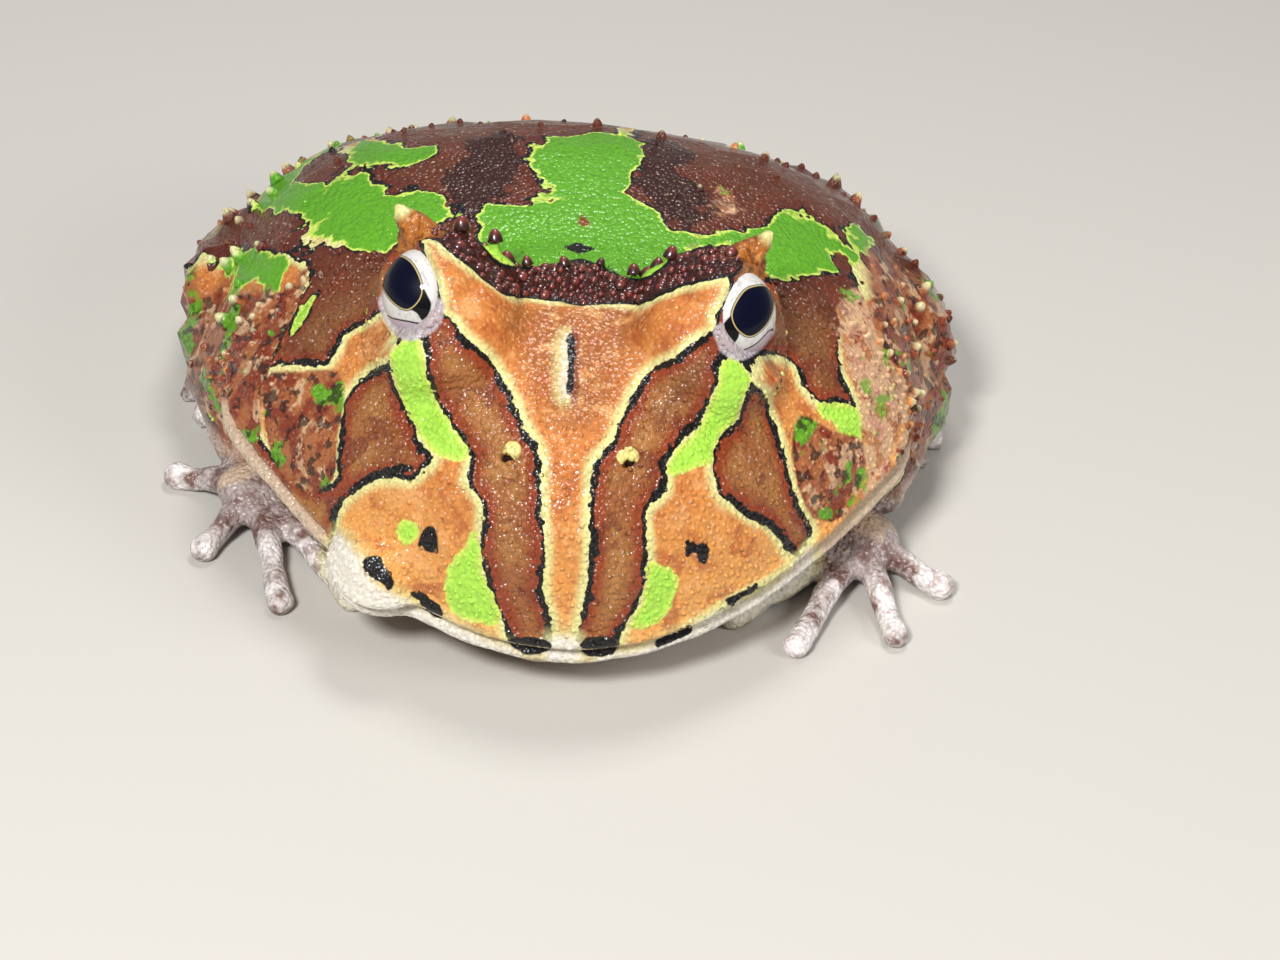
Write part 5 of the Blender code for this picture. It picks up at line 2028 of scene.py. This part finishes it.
        # each layer: what drives it, where it starts and is full, how strong it is, and its colour
        return self.stacked(tree, linear(self.olive), (
            (ragged["light"], -1.9, -3.0, 0.7, self.olive_pale),
            (broad, 0.42, 0.62, 0.45, self.rust),
            (ragged["light"], -2.2, -1.0, 0.85, self.rust_red),
            (noises["streaks"], 0.56, 0.64, 0.5, self.back_brown),
            (marks["temple"], -1.0, 2.0, 0.6, self.temple),
            (marks["back"], 0.0, 1.0, 0.9, self.back_brown),
            (noises["streaks"], 0.56, 0.66, 0.45, self.rust),
            (ragged["furrow"], -0.2, 0.3, 0.95, self.furrow),
            (ragged["outer"], -0.72, -0.58, 1.0, self.black),
            (ragged["light"], -0.05, 0.05, 1.0, self.rim_yellow),
            (marks["light"], 0.2, 1.45, 1.0, orange),
            # pale granule tips, partly their own colour and partly painted glints
            (tip, 0.1, 0.9, 0.75, self.granule_tip_and_glint),
            (ragged["green"], -0.2, -0.05, 1.0, self.green_rim),
            (ragged["green"], 0.1, 0.6, 1.0, paired["green"]),
            (marks["mottle"], 0.25, 0.75, 1.0, mottled),
            (ragged["flank_cream"], -0.5, 0.7, 0.95, flank),
            (marks["cream"], 0.3, 0.9, 1.0, self.cream),
            (marks["pale"], 0.2, 0.9, 1.0, hand),
            (ragged["white"], -1.7, -0.3, 0.55, self.rim_yellow),
            (ragged["white"], -0.7, 0.9, 1.0, self.white),
            (ragged["maroon"], -0.35, -0.15, 1.0, self.black),
            (ragged["maroon"], 0.05, 0.3, 1.0, self.maroon),
            (marks["horn"], 0.1, 0.3, 1.0, horned),
            (marks["horn"], 0.78, 0.96, 0.9, self.rim_yellow),
            (marks["red"], -0.2, 0.3, 0.9, self.red),
            (ragged["black"], -0.1, 0.1, 1.0, self.black),
            (ragged["lid"], -0.1, 0.35, 0.9, self.lid_pale),
            (marks["nostril"], 0.3, 0.6, 1.0, self.nostril),
            # painted shade in each nostril's opening
            (marks["pit"], 0.2, 0.6, 1.0, self.speck),
            (marks["tip"], 0.25, 0.8, 0.85, self.wart_tip),
        ))

    @staticmethod
    def painted_granule_shade_and_speckle(tree: NodeTree, colour: NodeSocket, granules: NodeSocket, specks: NodeSocket) -> NodeSocket:
        """Paint shade into the creases between granules and a little painted light on their tops, and vary
        the tone by the finest noise.

        Args:
            tree: The node tree.
            colour: The pigments.
            granules: Distance from each granule's middle.
            specks: The finest noise.

        Returns:
            The finished colour.
        """
        painted_crease_shade = add(tree, "MapRange", {"Value": granules, "From Min": 0.1, "From Max": 0.75, "To Min": 1.05,
                                       "To Max": 0.88})
        speckle = add(tree, "MapRange", {"Value": specks, "From Min": 0.3, "From Max": 0.7, "To Min": 0.86,
                                         "To Max": 1.1})
        light = add(tree, "Math", {0: painted_crease_shade.outputs[0], 1: speckle.outputs[0]},
                    operation="MULTIPLY").outputs[0]
        shade = add(tree, "CombineColor", {0: light, 1: light, 2: light}).outputs[0]
        return add(tree, "Mix", {0: 1.0, 6: colour, 7: shade}, data_type="RGBA",
                   blend_type="MULTIPLY").outputs[2]

    def relief(self, tree: NodeTree, granules: NodeSocket, tip: NodeSocket, noises: Sockets,
               light: NodeSocket) -> NodeSocket:
        """Each granule as a dome, height -d^2 from its middle, on lumps of a few mm.

        Args:
            tree: The node tree.
            granules: Distance from each granule's middle.
            tip: The large granules' tips, which stand higher.
            noises: The noises by name.
            light: Distance into the light areas, which are calmer.

        Returns:
            The bumped normal.
        """
        dome = add(tree, "Math", {0: granules, 1: granules}, operation="MULTIPLY").outputs[0]
        height = noises["fine"]
        for source, weight in ((dome, -1.0), (noises["blobs"], 2.0), (tip, 0.6)):
            height = add(tree, "Math", {0: source, 1: weight, 2: height},
                         operation="MULTIPLY_ADD").outputs[0]
        calm = add(tree, "MapRange", {"Value": light, "From Min": -0.5, "From Max": 0.8, "To Min": 0.9,
                                      "To Max": 0.5})
        return add(tree, "Bump", {"Height": height, "Distance": self.granule_height_mm * MM,
                                  "Strength": calm.outputs[0]}).outputs[0]

    @staticmethod
    def stacked(tree: NodeTree, base: tuple[float, ...], layers: tuple) -> NodeSocket:
        """Lay colours over one another, each through a smooth ramp of the number that drives it.

        Args:
            tree: The node tree.
            base: The linear colour below them all.
            layers: Rows of driver, start, full, strength and a hex colour or a colour socket.

        Returns:
            The colour on top.
        """
        colour = base
        for driver, start, full, strength, pigment in layers:
            ramp = add(tree, "MapRange", {"Value": driver, "From Min": start, "From Max": full,
                                          "To Max": strength}, interpolation_type="SMOOTHSTEP")
            above = linear(pigment) if isinstance(pigment, str) else pigment
            colour = add(tree, "Mix", {0: ramp.outputs[0], 6: colour, 7: above},
                         data_type="RGBA").outputs[2]
        return colour


@dataclass(frozen=True)
class EyeMarks:
    """Outlines over the photograph of what one eye shows, as u, v, u, v... in its pixels."""

    name: str
    side: float
    pupil: tuple[float, ...]
    bar: tuple[float, ...]
    fold: tuple[float, ...]


EYES = (
    EyeMarks(
        "eye_right", -1.0,
        pupil=(396, 257, 404, 258, 413, 266, 420, 281, 421, 293, 416, 303, 407, 309, 397, 305, 388, 296,
            382, 285, 383, 272, 388, 262),
        bar=(421, 286, 428, 297, 431, 305, 428, 315, 423, 321, 417, 313, 410, 308, 416, 300),
        fold=(380, 314, 393, 319, 408, 322, 423, 324, 436, 317, 444, 330, 425, 350, 390, 345),
    ),
    EyeMarks(
        "eye_left", 1.0,
        pupil=(763, 286, 770, 291, 774, 303, 770, 318, 761, 330, 750, 336, 740, 331, 734, 322, 733, 312,
            739, 299, 748, 289),
        bar=(733, 315, 723, 325, 719, 335, 722, 345, 728, 348, 736, 341, 739, 334, 738, 326),
        fold=(712, 342, 722, 350, 733, 351, 745, 350, 758, 343, 772, 330, 770, 355, 735, 372),
    ),
)


@dataclass(frozen=True)
class WetEye:
    """An eyeball under a clear cornea: silver iris with dark veins, blue-black pupil with a gold ring.

    The film of tears gives one hard highlight.
    """

    iris: str = "#CBC8C4"
    vein: str = "#8A878A"
    vein_mm: float = 0.55
    pupil: str = "#04071C"
    gold: str = "#B9A468"
    black: str = "#08070A"
    lavender: str = "#B7A7B2"

    def material(self) -> Material:
        """Build the node tree from the eye's attributes.

        Returns:
            The material for both eyeballs.
        """
        made, shader = new_material("wet_eyeball", {
            "Roughness": 0.45, "Specular IOR Level": 0.08, "Coat Weight": 0.45, "Coat Roughness": 0.03,
            "Coat IOR": 1.376})
        tree = made.node_tree
        place = add(tree, "TexCoord").outputs["Object"]
        marks = {
            name: add(tree, "Attribute", attribute_name=name).outputs["Fac"]
            for name in ("pupil", "bar", "fold")
        }
        veins = add(tree, "TexNoise", {"Vector": place, "Scale": 1 / (self.vein_mm * MM), "Detail": 4.0})
        colour = WetSkin.stacked(tree, linear(self.iris), (
            (veins.outputs["Fac"], 0.5, 0.68, 0.5, self.vein),
            (marks["bar"], -0.12, 0.06, 1.0, self.black),
            (marks["pupil"], -0.3, -0.24, 0.8, self.black),
            (marks["pupil"], -0.18, -0.12, 0.9, self.gold),
            (marks["pupil"], -0.05, 0.02, 1.0, self.pupil),
            (marks["fold"], -0.28, -0.12, 1.0, self.black),
            (marks["fold"], -0.04, 0.08, 1.0, self.lavender),
        ))
        tree.links.new(colour, shader.inputs["Base Color"])
        return made


@dataclass
class Eyeballs:
    """Both eyeballs as fine spheres, with what the photograph shows on each carried to it."""

    eye: Eye
    camera: PhotoCamera
    rings: int = 96
    around: int = 128

    def build(self) -> list[Object]:
        """Make both eyeballs and their attributes.

        Returns:
            The two objects.
        """
        made = []
        for marks in EYES:
            centre = mirrored(self.eye.centre, marks.side)
            ball = ellipsoid(centre, (self.eye.radius,) * 3, self.rings, self.around)
            piece = make_object(f"{marks.name}_ball", *joined([ball]))
            normals = (ball.points - centre) / self.eye.radius
            pixels = self.camera.pixels(ball.points)
            reader = Field(self.camera, ball.points, normals)
            facing = (normals * self.camera.towards(ball.points)).sum(axis=1) > 0.0
            for name in ("pupil", "bar", "fold"):
                read = reader.read(np.array(getattr(marks, name), float).reshape(-1, 2), pixels)
                set_values(piece.data, name, np.where(facing, read, -3.0))
            made.append(piece)
        return made


@dataclass(frozen=True)
class Studio:
    """A plain pale floor, a soft key light from the camera's side, a fill, a top light and a pale sky."""

    floor_colour: str = "#BDB9B2"
    floor_half: float = 900.0
    sky: str = "#E6E9EE"
    sky_strength: float = 0.22

    def build(self) -> None:
        """Add the floor, the lights and the sky."""
        half = self.floor_half
        corners = np.array([[-half, -half, 0], [half, -half, 0], [half, half, 0], [-half, half, 0.0]])
        floor = make_object("floor", corners, np.arange(4), np.array([4]))
        paper, shader = new_material("matt_paper", {"Roughness": 0.85})
        shader.inputs["Base Color"].default_value = linear(self.floor_colour)
        floor.data.materials.append(paper)
        self.softbox("key", (-150.0, -330.0, 380.0), 110.0, 2.75)
        # the fill would stand as a grey disc in the left pupil, so glossy rays don't see it
        self.softbox("fill", (330.0, -180.0, 240.0), 200.0, 0.8).visible_glossy = False
        self.softbox("top", (30.0, 170.0, 470.0), 160.0, 1.1)
        bpy.context.scene.view_settings.view_transform = "Standard"
        world = bpy.data.worlds.new("studio_sky")
        bpy.context.scene.world = world
        world.use_nodes = True
        background = world.node_tree.nodes["Background"]
        background.inputs["Color"].default_value = linear(self.sky)
        background.inputs["Strength"].default_value = self.sky_strength

    @staticmethod
    def softbox(name: str, place: Point, size: float, watts: float) -> Object:
        """Add a round area light that looks at the frog's middle.

        Args:
            name: The light's name.
            place: Where it stands in mm.
            size: Its width in mm.
            watts: Its power.

        Returns:
            The light.
        """
        data = bpy.data.lights.new(name, "AREA")
        data.shape = "DISK"
        data.size = size * MM
        data.energy = watts
        made = placed(name, data)
        towards = Vector((0.0, -5.0, 18.0)) - Vector(place)
        turn = towards.to_track_quat("-Z", "Y").to_matrix().to_4x4()
        made.matrix_world = Matrix.Translation(Vector(place) * MM) @ turn
        return made


FLESH = ("head", "lower_jaw", "torso") + tuple(
    f"{part}_{side}"
    for part in ("upper_lid", "upper_arm", "forearm", "hand", "thigh", "shank", "foot")
    for side in ("left", "right")
)


def main() -> None:
    """Build the frog and its studio in order, and report each piece."""
    camera = PhotoCamera()
    camera.add()
    Studio().build()
    trunk, limbs, eye = Trunk(), Limbs(), Eye()
    paint = Paint(camera, trunk, limbs)
    finish = WetSkin().material()
    skin = Skin(trunk, HeadForms(), limbs, eye, paint)
    dressed(skin.build(), finish, "skin", *FLESH)
    dressed(Warts(skin).build(), finish, "skin")
    dressed(CrestKnobs(skin).build(), WetCrest().material(), "skin")
    wet = WetEye().material()
    for ball, marks in zip(Eyeballs(eye, camera).build(), EYES):
        dressed(ball, wet, "eye", marks.name)


if __name__ == "__main__":
    main()
